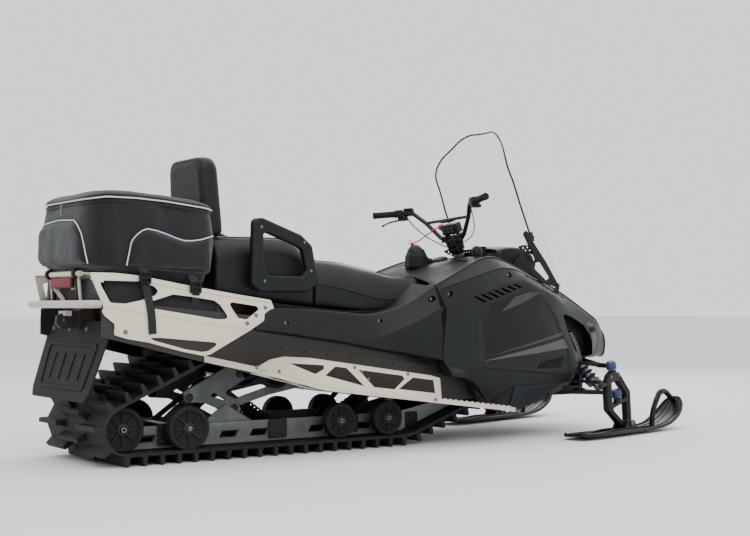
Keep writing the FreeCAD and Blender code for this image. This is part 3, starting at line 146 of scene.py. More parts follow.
cream = surface("cream_paint", (214, 201, 180), 0.42, spread=0.035, grain=1500, bump=0.12, coat=0.25,
                worn=(120, 110, 96), slot="cream_metal")
brown = surface("brown_paint", (20, 17, 15), 0.5, shine=0.3, grain=1200, bump=0.2, worn=(58, 52, 47),
                slot="dark_metal")
# Lighter copy of the brown paint: a painted highlight on the tunnel's band above its crease; a lighter tone
# on the chaincase, hubs, rivets and bolts.
brown_light = surface("brown_paint_light", (31, 28, 26), 0.46, shine=0.3, spread=0.08, grain=1200, bump=0.2,
                      slot="dark_metal")
tan_metal = surface("tan_strut", (122, 106, 80), 0.5, 0.2, spread=0.2, spots=20, bump=0.3, slot="dark_metal")
rail_grey = surface("rail_grey", (84, 85, 86), 0.62, 0.3, spread=0.3, spots=14, grain=260, bump=0.4,
                    depth=0.0006, worn=(150, 150, 150), slot="rail_metal")
bronze = surface("bronze_paint", (30, 25, 21), 0.36, 0.35, spread=0.1, grain=1400, bump=0.12, coat=0.2,
                 slot="bar_metal")
plastic = surface("moulded_plastic", (16, 18, 20), 0.46, spread=0.14, grain=1700, bump=0.3, depth=0.0003,
                  worn=(44, 45, 47), shine=0.25)
plastic_dark = surface("dark_plastic", (13, 13, 14), 0.44, grain=1500, shine=0.25)
gloss_black = surface("gloss_black", (8, 8, 9), 0.3, spread=0.1, grain=1200, bump=0.04, coat=0.06, shine=0.22)
# Near-black used as painted shade: on the walls of cut openings and on the belly slots; also used for the
# dark seam lines and a nose stripe.
hole_black = surface("hole_black", (4, 4, 4), 0.8, spread=0.2, shine=0.25)
taupe = surface("taupe_plastic", (66, 63, 57), 0.45, spread=0.06, grain=1500, bump=0.2)
# Grey for stripes and the control keys; on the decal zone's upper facet it is a painted highlight.
stripe_and_highlight_grey = surface("grey_stripe", (38, 38, 40), 0.42, spread=0.06, grain=1500, bump=0.1)
# Lighter copy of the black plastic that paints highlights: on the louvre edge and ridges and on the belly
# facet.
highlight_grey = surface("facet_plastic", (23, 26, 29), 0.42, spread=0.1, grain=1700, bump=0.3, shine=0.35)
ski_black = surface("ski_plastic", (13, 13, 14), 0.36, spread=0.14, grain=500, bump=0.2, shine=0.25,
                    slot="ski_plastic")
vinyl = surface("grained_vinyl", (16, 18, 20), 0.47, spread=0.1, grain=620, depth=0.0005, bump=0.35,
                cells=True, worn=(40, 41, 43), shine=0.25, slot="seat_vinyl")
cordura = surface("woven_nylon", (14, 15, 19), 0.78, spread=0.16, weave=260, depth=0.0005, bump=0.5,
                  sheen=0.25, shine=0.25, slot="bag_fabric")
webbing = surface("webbing", (17, 17, 19), 0.75, weave=420, depth=0.0005, bump=0.6, sheen=0.2, shine=0.25,
                  slot="bag_fabric")
piping = surface("piping", (200, 203, 206), 0.5, spread=0.08, grain=900, bump=0.3, slot="bag_fabric")
rubber = surface("rubber", (18, 18, 19), 0.68, spread=0.25, spots=16, grain=420, bump=0.5, depth=0.0006,
                 worn=(38, 38, 39), shine=0.25, slot="track_rubber")
alloy = surface("cast_alloy", (104, 104, 106), 0.46, 0.7, grain=900, bump=0.3, slot="bare_metal")
steel = surface("plated_steel", (112, 112, 114), 0.36, 0.8, spread=0.08, grain=1200, bump=0.15,
                slot="bare_metal")
blue = surface("blue_cap", (15, 48, 100), 0.4, grain=900, bump=0.2, slot="bare_metal")
red = surface("red_cap", (190, 24, 30), 0.42, spread=0.1, grain=900, bump=0.2, slot="lamp_red")
red_lens = surface("red_lens", (120, 2, 5), 0.3, grain=300, bump=0.3, shine=0.3, slot="lamp_red")
glass = clear("clear_sheet", (200, 206, 210), 0.04, 0.06, "clear_sheet")
lens = clear("clear_lens", (226, 232, 236), 0.1, 0.45, "lamp_clear")

by_slot = {"cream_metal": cream, "dark_metal": brown, "rail_metal": rail_grey, "bar_metal": bronze,
           "body_plastic": plastic, "ski_plastic": ski_black, "seat_vinyl": vinyl,
           "bag_fabric": cordura, "track_rubber": rubber, "clear_sheet": glass, "lamp_clear": lens,
           "lamp_red": red_lens, "bare_metal": alloy, "shock_metal": steel}
node_looks = {part["node"]: by_slot[part["material_slot"]] for part in frame["record"]["subparts"]}
node_looks.update(console=plastic_dark, seat_base=plastic_dark, belly_pan=plastic_dark, chaincase=brown_light)
for name, thing in nodes.items():
    if thing.material_slots:
        thing.material_slots[0].material = node_looks[name]
    else:
        thing.data.materials.append(node_looks[name])


# Helpers: everything below is given in millimetres, and pieces are shaped on the right side first

def add_object(name, data):
    piece = bpy.data.objects.new(name, data)
    bpy.context.scene.collection.objects.link(piece)
    return piece


def shade(mesh, angle):
    """Smooth shading, with sharp edges above an angle."""
    mesh.polygons.foreach_set("use_smooth", [True] * len(mesh.polygons))
    mesh.set_sharp_from_angle(angle=math.radians(angle))


def joined(meshes):
    """One mesh from several."""
    work = bmesh.new()
    for mesh in meshes:
        work.from_mesh(mesh)
    return finished(work)


def finished(work):
    mesh = bpy.data.meshes.new("shape")
    work.to_mesh(mesh)
    work.free()
    return mesh


def as_mesh(shape):
    return joined(shape) if isinstance(shape, list) else shape


def place(name, shape, material, smooth=40, body="chassis", slot=None):
    """Object from a mesh or a list of them, riding on a body."""
    mesh = as_mesh(shape)
    mesh.transform(metres)
    mesh.materials.clear()
    mesh.materials.append(material)
    piece = add_object(name, mesh)
    shade(mesh, smooth)
    if body:
        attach(piece, body)
    slot or slot_of[material.name]
    return piece


def mirror(mesh):
    """Copy on the left side."""
    copy = mesh.copy()
    copy.transform(Matrix.Scale(-1, 4, (0, 1, 0)))
    copy.flip_normals()
    return copy


def both_sides(name, shape, material, smooth=30, slot=None):
    """The piece on the right and its mirror image on the left."""
    right = as_mesh(shape)
    left = mirror(right)
    return [place(name + tag, mesh, material, smooth, slot=slot)
            for tag, mesh in (("_r", right), ("_l", left))]


def left_of(piece, name):
    """Mirror image of a finished piece on the chassis."""
    left = add_object(name, mirror(piece.data))
    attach(left, "chassis")
    return left


def modified(piece, *steps):
    """Applies modifiers given as (type, settings) and leaves a plain mesh."""
    for kind, settings in steps:
        modifier = piece.modifiers.new(kind.lower(), kind)
        for key, value in settings.items():
            setattr(modifier, key, value)
    bpy.context.view_layer.update()
    mesh = bpy.data.meshes.new_from_object(piece.evaluated_get(bpy.context.evaluated_depsgraph_get()))
    piece.modifiers.clear()
    piece.data = mesh
    return piece


def thickened(piece, thickness, *steps):
    return modified(piece, ("SOLIDIFY", {"thickness": thickness, "offset": -1}), *steps)


def cut(piece, cutters, angle=28, lined=True):
    """Takes joined cutters out of a piece; the walls of lined cuts are painted near-black, as painted shade
    in the openings.
    """
    mesh = joined(cutters)
    mesh.transform(metres)
    settings = {"operation": "DIFFERENCE", "solver": "EXACT"}
    if lined:
        mesh.materials.append(hole_black)
        settings["material_mode"] = "TRANSFER"
    cutter = add_object("cutter", mesh)
    modified(piece, ("BOOLEAN", {"object": cutter, **settings}))
    bpy.data.objects.remove(cutter)
    shade(piece.data, angle)


def skin(rings, closed=True, caps=True):
    """Skin through rings of equally many points."""
    count = len(rings[0])
    faces = []
    for i in range(len(rings) - 1):
        for k in range(count if closed else count - 1):
            a, b = i * count + k, i * count + (k + 1) % count
            faces.append((a, b, b + count, a + count))
    if caps:
        faces.append(tuple(range(count))[::-1])
        faces.append(tuple(range((len(rings) - 1) * count, len(rings) * count)))
    mesh = bpy.data.meshes.new("shape")
    mesh.from_pydata([tuple(p) for ring in rings for p in ring], [], faces)
    work = bmesh.new()
    work.from_mesh(mesh)
    bmesh.ops.recalc_face_normals(work, faces=work.faces)
    return finished(work)


def sheet(rows):
    """Open skin over rows of points."""
    return skin(rows, closed=False, caps=False)


def tree_of(mesh):
    return BVHTree.FromPolygons([v.co.copy() for v in mesh.vertices],
                                [tuple(f.vertices) for f in mesh.polygons])


def spline(a, b, c, d, t):
    """Catmull-Rom value between b and c."""
    return 0.5 * ((2 * b) + (c - a) * t + (2 * a - 5 * b + 4 * c - d) * t * t
                  + (3 * b - a - 3 * c + d) * t ** 3)


def smooth_path(points, steps=8):
    """Smooth curve through the given points."""
    points = [Vector(p) for p in points]
    points = [2 * points[0] - points[1]] + points + [2 * points[-1] - points[-2]]
    fours = zip(points, points[1:], points[2:], points[3:])
    return [spline(*four, k / steps) for four in fours for k in range(steps)] + [points[-2]]


def corner_arc(a, p, b, radius, steps, most):
    """Arc that rounds the corner p between a and b, taking at most a share of each side."""
    a, b = a - p, b - p
    reach = min(radius * math.tan((math.pi - a.angle(b)) / 2), most * a.length, most * b.length)
    start, end = p + a.normalized() * reach, p + b.normalized() * reach
    shares = [k / steps for k in range(steps + 1)]
    return [(1 - t) ** 2 * start + 2 * t * (1 - t) * p + t * t * end for t in shares]


def filleted(points, radius, steps=5, closed=False):
    """Corner points replaced by arcs, for bent bars and plate outlines."""
    points = [Vector(p) for p in points]
    count = len(points)
    radii = radius if isinstance(radius, list) else [radius] * count
    out = []
    for i, p in enumerate(points):
        a, b = points[i - 1], points[(i + 1) % count]
        at_end = not closed and i in (0, count - 1)
        if at_end or radii[i] <= 0 or math.pi - (a - p).angle(b - p) < 0.02:
            out.append(p)
        else:
            out += corner_arc(a, p, b, radii[i], steps, 0.48)
    return out


def circle(rx, count, ry=None):
    """Points (across, up) round a circle or an ellipse."""
    turns = [2 * math.pi * k / count for k in range(count)]
    return [(rx * math.cos(a), (rx if ry is None else ry) * math.sin(a)) for a in turns]


def sweep(path, radius, sides=14, closed=False, flat=None):
    """Round or flat bar along a path; radius may be a list.  flat is (width, height)."""
    path = [Vector(p) for p in path]
    count = len(path)
    along = []
    for i in range(count):
        a = path[i - 1] if (i or closed) else path[0]
        b = path[(i + 1) % count] if (i < count - 1 or closed) else path[-1]
        along.append((b - a).normalized())
    side = along[0].cross(Vector((0, 0, 1)))
    if side.length < 0.05:
        side = along[0].cross(Vector((1, 0, 0)))
    side.normalize()
    rings = []
    for i, p in enumerate(path):
        side = (side - along[i] * side.dot(along[i])).normalized()
        up = along[i].cross(side)
        if flat:
            w, h = flat[0] / 2, flat[1] / 2
            e = min(w, h) * 0.5
            section = [(w, h - e), (w - e, h), (e - w, h), (-w, h - e), (-w, e - h), (e - w, -h), (w - e, -h),
                       (w, e - h)]
        else:
            section = circle(radius[i] if isinstance(radius, list) else radius, sides)
        rings.append([p + side * u + up * v for u, v in section])
    if closed:
        return skin(rings + rings[:1], caps=False)
    return skin(rings)


def lathe(profile, centre, axis, sides=32):
    """Turned piece: profile of (distance along the axis, radius)."""
    axis = Vector(axis).normalized()
    side = axis.orthogonal().normalized()
    up = axis.cross(side)
    return skin([[Vector(centre) + axis * along + side * u + up * v for u, v in circle(max(r, 0.01), sides)]
                 for along, r in profile])


side_view = Matrix(((1, 0, 0, 0), (0, 0, -1, 0), (0, 1, 0, 0), (0, 0, 0, 1)))


def at_y(y):
    """Side view placed at one width."""
    return Matrix.Translation((0, y, 0)) @ side_view


def facing_back(x, z):
    """Rear view placed at a length and a height."""
    return Matrix(((0, 0, 1, x), (1, 0, 0, 0), (0, 1, 0, z), (0, 0, 0, 1)))


def turn_about(point, degrees, axis="Y"):
    point = Vector(point)
    turn = Matrix.Rotation(math.radians(degrees), 4, axis)
    return Matrix.Translation(point) @ turn @ Matrix.Translation(-point)


def rect(x0, z0, x1, z1):
    return [(x0, z0), (x1, z0), (x1, z1), (x0, z1)]


def plate(outline, thick, bevel, matrix, holes=(), radius=0.0, hole_radius=0.0, steps=5):
    """Flat plate with holes and rounded edges, from a 2D outline put in place by matrix."""
    curve = bpy.data.curves.new("outline", "CURVE")
    curve.dimensions = "2D"
    curve.fill_mode = "BOTH"
    curve.extrude = thick / 2 - bevel
    curve.bevel_depth = bevel
    curve.bevel_resolution = 2
    curve.offset = -bevel
    for loop, r in [(outline, radius)] + [(hole, hole_radius) for hole in holes]:
        path = [Vector((x, y, 0)) for x, y in loop]
        if r:
            path = filleted(path, r, steps, True)
        spline_points = curve.splines.new("POLY")
        spline_points.points.add(len(path) - 1)
        for point, p in zip(spline_points.points, path):
            point.co = (p.x, p.y, 0, 1)
        spline_points.use_cyclic_u = True
    thing = bpy.data.objects.new("outline", curve)
    mesh = bpy.data.meshes.new_from_object(thing)
    bpy.data.objects.remove(thing)
    bpy.data.curves.remove(curve)
    mesh.transform(matrix)
    return mesh


def block(low, high, bevel, segments=3, tilt=None):
    """Moulded block with rounded edges, given by its corners."""
    work = bmesh.new()
    bmesh.ops.create_cube(work, size=1.0)
    low, high = Vector(low), Vector(high)
    for v in work.verts:
        v.co = Vector([(low[i] + high[i]) / 2 + v.co[i] * (high[i] - low[i]) for i in range(3)])
    bmesh.ops.bevel(work, geom=work.edges[:], offset=bevel, segments=segments, profile=0.6, affect="EDGES")
    mesh = finished(work)
    if tilt is not None:
        mesh.transform(tilt)
    return mesh


def bolt(centre, axis, r=8.0, high=5.0):
    """Domed bolt head with a washer."""
    return lathe([(-1, r * 1.35), (1.2, r * 1.35), (1.4, r), (high * 0.7, r * 0.92), (high, r * 0.55),
                  (high * 0.75, r * 0.4), (high * 0.72, 0)], centre, axis, 14)


def bolts_at(y, spots, r, high, axis=(0, -1, 0)):
    """Bolt heads at points of the side view, all at one width."""
    return [bolt((x, y, z), axis, r, high) for x, z in spots]


def lerp_line(points, x):
    """Value of a broken line at x."""
    for (ax, ay), (bx, by) in zip(points, points[1:]):
        if x <= bx:
            break
    return ay + (by - ay) * (x - ax) / (bx - ax)


def distances(path):
    """Distance of each point from the start of its path."""
    out = [0.0]
    for a, b in zip(path, path[1:]):
        out.append(out[-1] + (b - a).length)
    return out


# Cargo bag: padded shell with a domed lid, raised pockets, piping and a zip with its pull

bag_rear, bag_front, bag_half = -1636.0, -1068.0, 285.0


def bag_outline(inset, count=112):
    """Plan of the bag, a rectangle with round corners, as evenly spread points."""
    x0, x1, half = bag_rear + inset, bag_front - inset, bag_half - inset
    rear, front = max(30, 120 - inset * 0.4), max(20, 60 - inset * 0.3)
    path = filleted([(x, y, 0) for x, y in rect(x0, -half, x1, half)], [rear, front, front, rear], 10, True)
    path.append(path[0])
    lengths = distances(path)
    out = []
    k = 0
    for i in range(count):
        s = lengths[-1] * i / count
        while lengths[k + 1] < s:
            k += 1
        t = (s - lengths[k]) / max(1e-6, lengths[k + 1] - lengths[k])
        out.append(path[k].lerp(path[k + 1], t))
    return out


def lid_z(x):
    return lerp_line([(-1660, 1064), (-1560, 1078), (-1430, 1078), (-1300, 1070), (-1130, 1052),
                      (-1060, 1040)], x)


def bag_low(x):
    return lerp_line([(-1650, 800), (-1400, 792), (-1060, 778)], x)


def rack_top(x):
    return lerp_line([(-1650, 790), (-1415, 778), (-1190, 742), (-1050, 716)], x)


def bag_level(inset, share, kind):
    """Ring of the bag: between the rack and its foot, up its side, or above its lid's seam."""
    heights = {"rack": lambda x: rack_top(x) + (bag_low(x) - rack_top(x)) * share,
               "side": lambda x: bag_low(x) + (lid_z(x) - bag_low(x)) * share,
               "lid": lambda x: lid_z(x) + share}
    return [Vector((p.x, p.y, heights[kind](p.x))) for p in bag_outline(inset)]


def crease_noise(mesh, amount, size, seed, pick=None):
    """Soft folds: points move along their normals by a stretched noise."""
    for v in mesh.vertices:
        p = Vector((v.co.x / size, v.co.y / size, v.co.z / size / 0.6)) + Vector((seed, seed, seed))
        v.co += v.normal * (amount * noise.fractal(p, 0.9, 2.0, 4) * (pick(v.co) if pick else 1.0))


bag_levels = {
    "rack": [(60, 0.0), (34, 0.15), (26, 0.8), (24, 1.0)],
    "side": [(6, 0.02), (0, 0.09), (-5, 0.3), (-7, 0.5), (-3, 0.72), (3, 0.88), (8, 0.97), (12, 1.0)],
    "lid": [(4, 7.0), (3, 16.0), (22, 28.0), (60, 38.0), (120, 44.0), (200, 47.0), (270, 48.0)]}
bag_mesh = skin([bag_level(*level, kind) for kind, levels in bag_levels.items() for level in levels])
bag_mesh.update()
crease_noise(bag_mesh, 9.0, 150.0, 3.0, lambda p: 1.0 if p.z < lid_z(p.x) - 8 else 0.45)
bag = place("bag_body", bag_mesh, cordura, 60)
modified(bag, ("SUBSURF", {"levels": 1}))
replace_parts(bag, "cargo_bag")

ring_count = 240
bag_ring = bag_outline(-3, ring_count)
bag_steps = distances(bag_ring + bag_ring[:1])
bag_middle = min(range(ring_count), key=lambda i: (bag_ring[i] - Vector((bag_rear, 0, 0))).length)


def bag_point(distance, z, out):
    """Point on the bag's side: distance runs from the middle of the rear face over the right side."""
    s = (bag_steps[bag_middle] + distance) % bag_steps[-1]
    k = max(i for i in range(ring_count) if bag_steps[i] <= s)
    here, there = bag_ring[k], bag_ring[(k + 1) % ring_count]
    p = here.lerp(there, (s - bag_steps[k]) / max(1e-6, (there - here).length))
    along = (there - here).normalized()
    return Vector((p.x, p.y, z)) + Vector((along.y, -along.x, 0)) * out


def bag_pocket(name, start, end, top, low, thick):
    """Raised pocket with a rounded, piped upper edge.  top and low give heights at 0..1 along it."""
    across, up, sunk = 30, 12, 6.0
    columns = []
    for i in range(across + 1):
        u = i / across
        z0, z1 = lerp_line(low, u), lerp_line(top, u)
        edge = min(u, 1 - u) * abs(end - start) / 30
        column = []
        for k in range(up + 1):
            v = k / up
            rise = min(1.0, max(0.0, min(edge, v * (z1 - z0) / 30, (1 - v) * (z1 - z0) / 22)))
            lift = -sunk + (thick + sunk) * math.sqrt(rise)
            column.append(bag_point(start + (end - start) * u, z0 + (z1 - z0) * v, lift))
        columns.append(column)
    mesh = sheet(columns)
    crease_noise(mesh, 4.0, 90.0, start * 0.01)
    piece = thickened(place(name, mesh, cordura, 70), 0.003, ("SUBSURF", {"levels": 1}))
    shares = [t / 60 for t in range(61)]
    edge = [bag_point(start + (end - start) * t, lerp_line(top, t) - 4, thick * 0.35) for t in shares]
    place(name + "_piping", sweep(edge, 2.8, 8), piping, 60)


side_top = [(0, 812), (0.053, 911), (0.11, 936), (0.17, 954), (0.23, 962), (0.32, 957), (0.44, 944),
            (0.55, 929), (0.646, 919), (0.74, 919), (0.847, 925), (1, 943)]
side_low = [(0, 806), (1, 794)]
rear_top = [(0, 818), (0.03, 880), (0.06, 936), (0.11, 972), (0.177, 994), (0.5, 1003), (0.823, 994),
            (0.89, 972), (0.94, 936), (0.97, 880), (1, 818)]
bag_pocket("bag_pocket_r", 407, 800, side_top, side_low, 20)
bag_pocket("bag_pocket_l", -407, -800, side_top, side_low, 20)
bag_pocket("bag_pocket_rear", -253, 253, rear_top, [(0, 810), (1, 810)], 22)
seam_ring = [Vector((p.x, p.y, lid_z(p.x) + 4)) for p in bag_outline(2, 160)]
place("bag_lid_piping", sweep(seam_ring, 3.2, 8, closed=True), piping, 60)
zip_ring = [Vector((p.x, p.y, lid_z(p.x) - 10)) for p in bag_outline(6, 160)]
place("bag_zip", sweep(zip_ring, 3.0, closed=True, flat=(4, 9)), webbing, 60)
pull = [bag_point(30, 1062, 8), bag_point(30, 1036, 12), bag_point(36, 1014, 10)]
place("bag_zip_pull", sweep(pull, 4, flat=(10, 3)), steel, 60, slot="bag_fabric")


# Webbing straps over the side plates, with their buckles

def plate_y_at(x, z):
    """Outer face of the rear side plate, which leans in above its bend line."""
    bend = 643 - 101 * (x + 1589) / 664
    return -335.3 + max(0.0, 0.28 * (z - bend))


def ribbon(path, across, width, thick):
    """Flat strap along a path, its width along one direction."""
    across = Vector(across).normalized()
    rings = []
    for i, p in enumerate(path):
        along = (path[min(i + 1, len(path) - 1)] - path[max(i - 1, 0)]).normalized()
        out = along.cross(across).normalized() * thick / 2
        half = across * width / 2
        rings.append([p - half - out, p + half - out, p + half + out, p - half + out])
    return skin(rings)


for side, hand in ((-1, "r"), (1, "l")):
    for x, low, tag in ((-1405, 556, "rear"), (-1178, 640, "front")):
        rail = lerp_line([(-1632, 770), (-1415, 760), (-1190, 724), (-958, 681)], x)
        outer = abs(plate_y_at(x, rail))
        route = [(x, side * 256, rail + 74), (x, side * (outer - 14), rail + 44),
                 (x, side * (outer + 10), rail + 20), (x + 1, side * (outer + 15), rail),
                 (x + 3, side * (outer + 13), rail - 22)]
        if tag == "front":
            route += [(x + 6, side * (outer + 4), rail - 54), (x + 10, side * (outer - 8), rail - 86)]
        else:
            route += [(x + 8, side * (abs(plate_y_at(x, rail - 70)) + 6), rail - 70),
                      (x + 13, side * 343, rail - 142), (x + 20, side * 342, low - 24)]
        place("strap_%s_%s" % (tag, hand), ribbon(smooth_path(route, 6), (1, 0, 0.1), 34, 3.4), webbing, 50)
        slits = [rect(x - 17, rail - 16, x + 17, rail - 6), rect(x - 17, rail + 4, x + 17, rail + 16)]
        buckle = plate(rect(x - 26, rail - 24, x + 26, rail + 24), 14, 4, at_y(side * (outer + 17)), slits,
                       radius=6, hole_radius=3)
        place("buckle_%s_%s" % (tag, hand), buckle, plastic_dark)


# Seats: foam shapes with crowned tops, side creases and welted seams

def seat_skin(rows, steps=4):
    """Rows of x, low, mid, high, half width below, at the middle and at the top, crown; smoothed."""
    last = len(rows) - 1
    filled = []
    for k in range(last):
        fours = list(zip(rows[max(k - 1, 0)], rows[k], rows[k + 1], rows[min(k + 2, last)]))
        filled += [[spline(*four, i / steps) for four in fours] for i in range(steps)]
    rings = []
    for x, low, mid, high, half_low, half_mid, half_high, crown in filled + [rows[-1]]:
        right = [(0, low), (half_low * 0.6, low), (half_low - 10, low), (half_low, low + 10),
                 (half_low * 0.5 + half_mid * 0.5 + 3, (low + mid) / 2), (half_mid + 2, mid - 12),
                 (half_mid, mid + 4), ((half_mid + half_high) / 2 + 5, (mid + high) / 2 + 4),
                 (half_high + 4, high - 6), (half_high * 0.8, high + crown * 0.45),
                 (half_high * 0.4, high + crown * 0.9), (0, high + crown)]
        rings.append([Vector((x, -y, z)) for y, z in right] + [Vector((x, y, z)) for y, z in right[-2:0:-1]])
    return skin(rings)


rider_rows = [
    (-548, 646, 742, 800, 214, 214, 150, 8), (-543, 641, 744, 838, 236, 236, 166, 10),
    (-520, 640, 746, 850, 239, 239, 170, 12), (-375, 628, 724, 842, 239, 236, 165, 13),
    (-235, 615, 690, 818, 236, 230, 160, 14), (-135, 627, 676, 799, 228, 224, 158, 14),
    (-54, 650, 686, 784, 218, 216, 157, 12), (60, 684, 712, 782, 212, 208, 158, 10),
    (150, 694, 728, 780, 206, 203, 158, 8), (230, 706, 740, 772, 202, 196, 152, 6),
    (285, 722, 742, 760, 192, 186, 148, 5), (312, 732, 742, 750, 176, 172, 142, 2)]
passenger_rows = [
    (-1046, 700, 830, 900, 214, 214, 158, 6), (-1040, 692, 850, 934, 232, 230, 172, 8),
    (-1010, 690, 858, 942, 239, 238, 176, 10), (-872, 672, 866, 946, 240, 239, 180, 8),
    (-740, 660, 866, 946, 240, 239, 180, 8), (-655, 651, 860, 944, 240, 239, 178, 8),
    (-612, 647, 846, 930, 240, 238, 176, 7), (-580, 644, 820, 898, 240, 236, 174, 6),
    (-556, 642, 790, 866, 238, 234, 172, 5), (-549, 650, 770, 820, 220, 218, 160, 2)]
for name, rows in (("rider_seat", rider_rows), ("passenger_seat", passenger_rows)):
    cover = place(name + "_cover", seat_skin(rows), vinyl, 60)
    modified(cover, ("SUBSURF", {"levels": 1}))
    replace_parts(cover, name)

welts = {
    "rider_welt": (5, 2.6, 8, [
        (-538, 240, 748), (-384, 239, 722), (-300, 236, 702), (-210, 230, 684), (-135, 226, 676),
        (-54, 218, 686), (60, 211, 712), (150, 205, 728), (230, 198, 740), (290, 186, 742)]),
    "rider_seam": (5, 1.8, 6, [
        (-520, 174, 852), (-375, 169, 844), (-235, 164, 820), (-135, 162, 801), (-54, 161, 786),
        (60, 162, 783), (150, 162, 781), (230, 156, 773)]),
    "passenger_welt": (6, 2.4, 8, [
        (-1036, 177, 936), (-872, 184, 945), (-655, 182, 943), (-612, 180, 929), (-580, 178, 897),
        (-558, 176, 866)])}
for side, tag in ((-1, "r"), (1, "l")):
    for name, (steps, radius, sides, line) in welts.items():
        path = smooth_path([(x, side * y, z) for x, y, z in line], steps)
        place(name + "_" + tag, sweep(path, radius, sides), vinyl, 60)


# Backrest: padded frame with a sunken handle opening

pad_foot = 939.3
handle_opening = [(-85, 270), (85, 270), (75, 318), (-75, 318)]


def backrest_loop(u, out):
    """Outline of the pad, shrunk by u, on its leaning plane; out is the way in front of its rear face."""
    half, high = 175 - u, 350 - 2 * u
    corners = [(-half, 0), (half, 0), (half - 20, high), (20 - half, high)]
    path = filleted([(a, b, 0) for a, b in corners], [30, 30, 66, 66], 12, True)
    return [on_backrest(p.x, p.y + u, out) for p in path]


def on_backrest(y, up, out):
    return Vector((-1052 - 24 * up / 350 + out, y, pad_foot + up + out * 0.087))


shell = [backrest_loop(u, out) for u, out in ((30, 8), (12, 0), (3, 4), (0, 14), (0, 38), (2, 60), (10, 78),
                                              (26, 87), (44, 90))]
backrest = place("backrest_pad", skin(shell), vinyl, 50)
cut(backrest, [plate(handle_opening, 260, 4, facing_back(-1072, pad_foot), radius=18)], 50, False)
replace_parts(backrest, "backrest")
place("backrest_seam", sweep(backrest_loop(52, 91.5), 2.2, 8, closed=True), vinyl, 60)
back_shell = [backrest_loop(u, out) for u, out in ((40, -3), (24, -4), (18, 0), (16, 6))]
place("backrest_shell", skin(back_shell), plastic)
place("backrest_bolts", [bolt(on_backrest(y, 60, -4), (-1, 0, 0), 9) for y in (-60, 60)], steel)


# D-shaped passenger grips with a rubbery skin and four bolts

grip_out = [(-862, 706), (-905, 740), (-896, 1020), (-850, 1026), (-655, 958), (-598, 912), (-563, 745),
            (-618, 706)]
grip_in = [(-815, 776), (-836, 800), (-846, 955), (-830, 962), (-675, 908), (-648, 890), (-626, 802),
           (-648, 776)]
loop = plate(grip_out, 38, 11, at_y(-284), [grip_in], radius=34, hole_radius=16, steps=6)
grip = both_sides("passenger_grip", loop, plastic, 35)
both_sides("grip_feet", [lathe([(0, 16), (6, 15), (30, 13)], (x, -268, 742), (0, 1, 0), 16)
                         for x in (-835, -640)], plastic_dark, 35)
grip_bolts = bolts_at(-301, ((-858, 985), (-640, 925), (-606, 800), (-842, 752)), 6.5, 4)
both_sides("grip_bolts", grip_bolts, steel, 40)
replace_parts(grip[0], "hand_grips")


# Body: right side skin through stations of nine points, given as (x, width, z) from the hood line down

body_cage = [
    [(19, 395, 741), (20, 412, 717), (47, 432, 643), (48, 438, 602), (35, 440, 514), (30, 438, 433),
     (35, 434, 393), (64, 430, 358), (98, 425, 318)],
    [(126, 375, 784), (126, 408, 747), (122, 434, 663), (134, 441, 608), (131, 444, 513), (133, 442, 411),
     (118, 438, 374), (142, 430, 342), (166, 422, 310)],
    [(236, 350, 828), (232, 398, 776), (227, 436, 691), (257, 443, 636), (253, 447, 512), (254, 446, 384),
     (221, 442, 358), (231, 430, 319), (243, 415, 277)],
    [(366, 315, 874), (343, 385, 805), (334, 438, 722), (365, 444, 663), (379, 449, 524), (398, 448, 395),
     (383, 444, 344), (370, 426, 270), (342, 395, 185)],
    [(463, 300, 880), (447, 372, 827), (427, 438, 748), (468, 444, 695), (491, 449, 537), (531, 446, 406),
     (536, 440, 337), (473, 425, 262), (489, 385, 148)],
    [(584, 292, 845), (557, 355, 819), (535, 432, 766), (558, 438, 722), (602, 442, 550), (653, 438, 417),
     (658, 432, 324), (644, 415, 252), (632, 375, 164)],
    [(708, 285, 798), (677, 335, 781), (642, 420, 737), (657, 425, 707), (712, 428, 552), (774, 424, 425),
     (777, 420, 309), (781, 405, 257), (774, 370, 205)],
    [(867, 275, 738), (834, 315, 720), (769, 400, 693), (765, 404, 642), (800, 408, 537), (888, 400, 429),
     (897, 400, 333), (891, 390, 296), (895, 370, 255)],
    [(1003, 262, 677), (971, 295, 661), (900, 350, 633), (895, 362, 600), (920, 372, 510), (955, 365, 420),
     (975, 355, 378), (985, 350, 370), (990, 345, 362)],
    [(1124, 245, 618), (1100, 272, 604), (1060, 296, 585), (1060, 308, 550), (1060, 318, 485),
     (1070, 308, 430), (1080, 300, 402), (1080, 290, 388), (1085, 270, 376)],
    [(1225, 222, 570), (1215, 236, 556), (1200, 248, 540), (1200, 256, 510), (1200, 260, 460),
     (1200, 256, 425), (1200, 248, 398), (1200, 238, 386), (1200, 220, 376)],
    [(1343, 142, 514), (1346, 150, 500), (1348, 157, 488), (1350, 161, 465), (1350, 162, 440),
     (1350, 160, 415), (1348, 156, 392), (1346, 148, 382), (1343, 130, 376)]]
body_steps = 12


def rounded_sections(cage, steps, radii, parts=3):
    """Cross sections along a cage, their corners rounded, all with equally many points."""
    rows = [smooth_path([(x, -y, z) for x, y, z in row], steps) for row in zip(*cage)]
    sections = []
    for points in zip(*rows):
        corners = [[points[0]]]
        for a, p, b, r in zip(points, points[1:], points[2:], radii[1:]):
            corners.append(corner_arc(a, p, b, r, 4, 0.45))
        corners.append([points[-1]])
        section = []
        for here, there in zip(corners, corners[1:]):
            section += here + [here[-1].lerp(there[0], k / parts) for k in range(1, parts)]
        sections.append(section + corners[-1])
    return sections


def inside(x, z, outline):
    """Whether a point of the side view lies in an outline."""
    hit = False
    for (ax, az), (bx, bz) in zip(outline, outline[1:] + outline[:1]):
        if (az > z) != (bz > z) and x < (bx - ax) * (z - az) / (bz - az) + ax:
            hit = not hit
    return hit


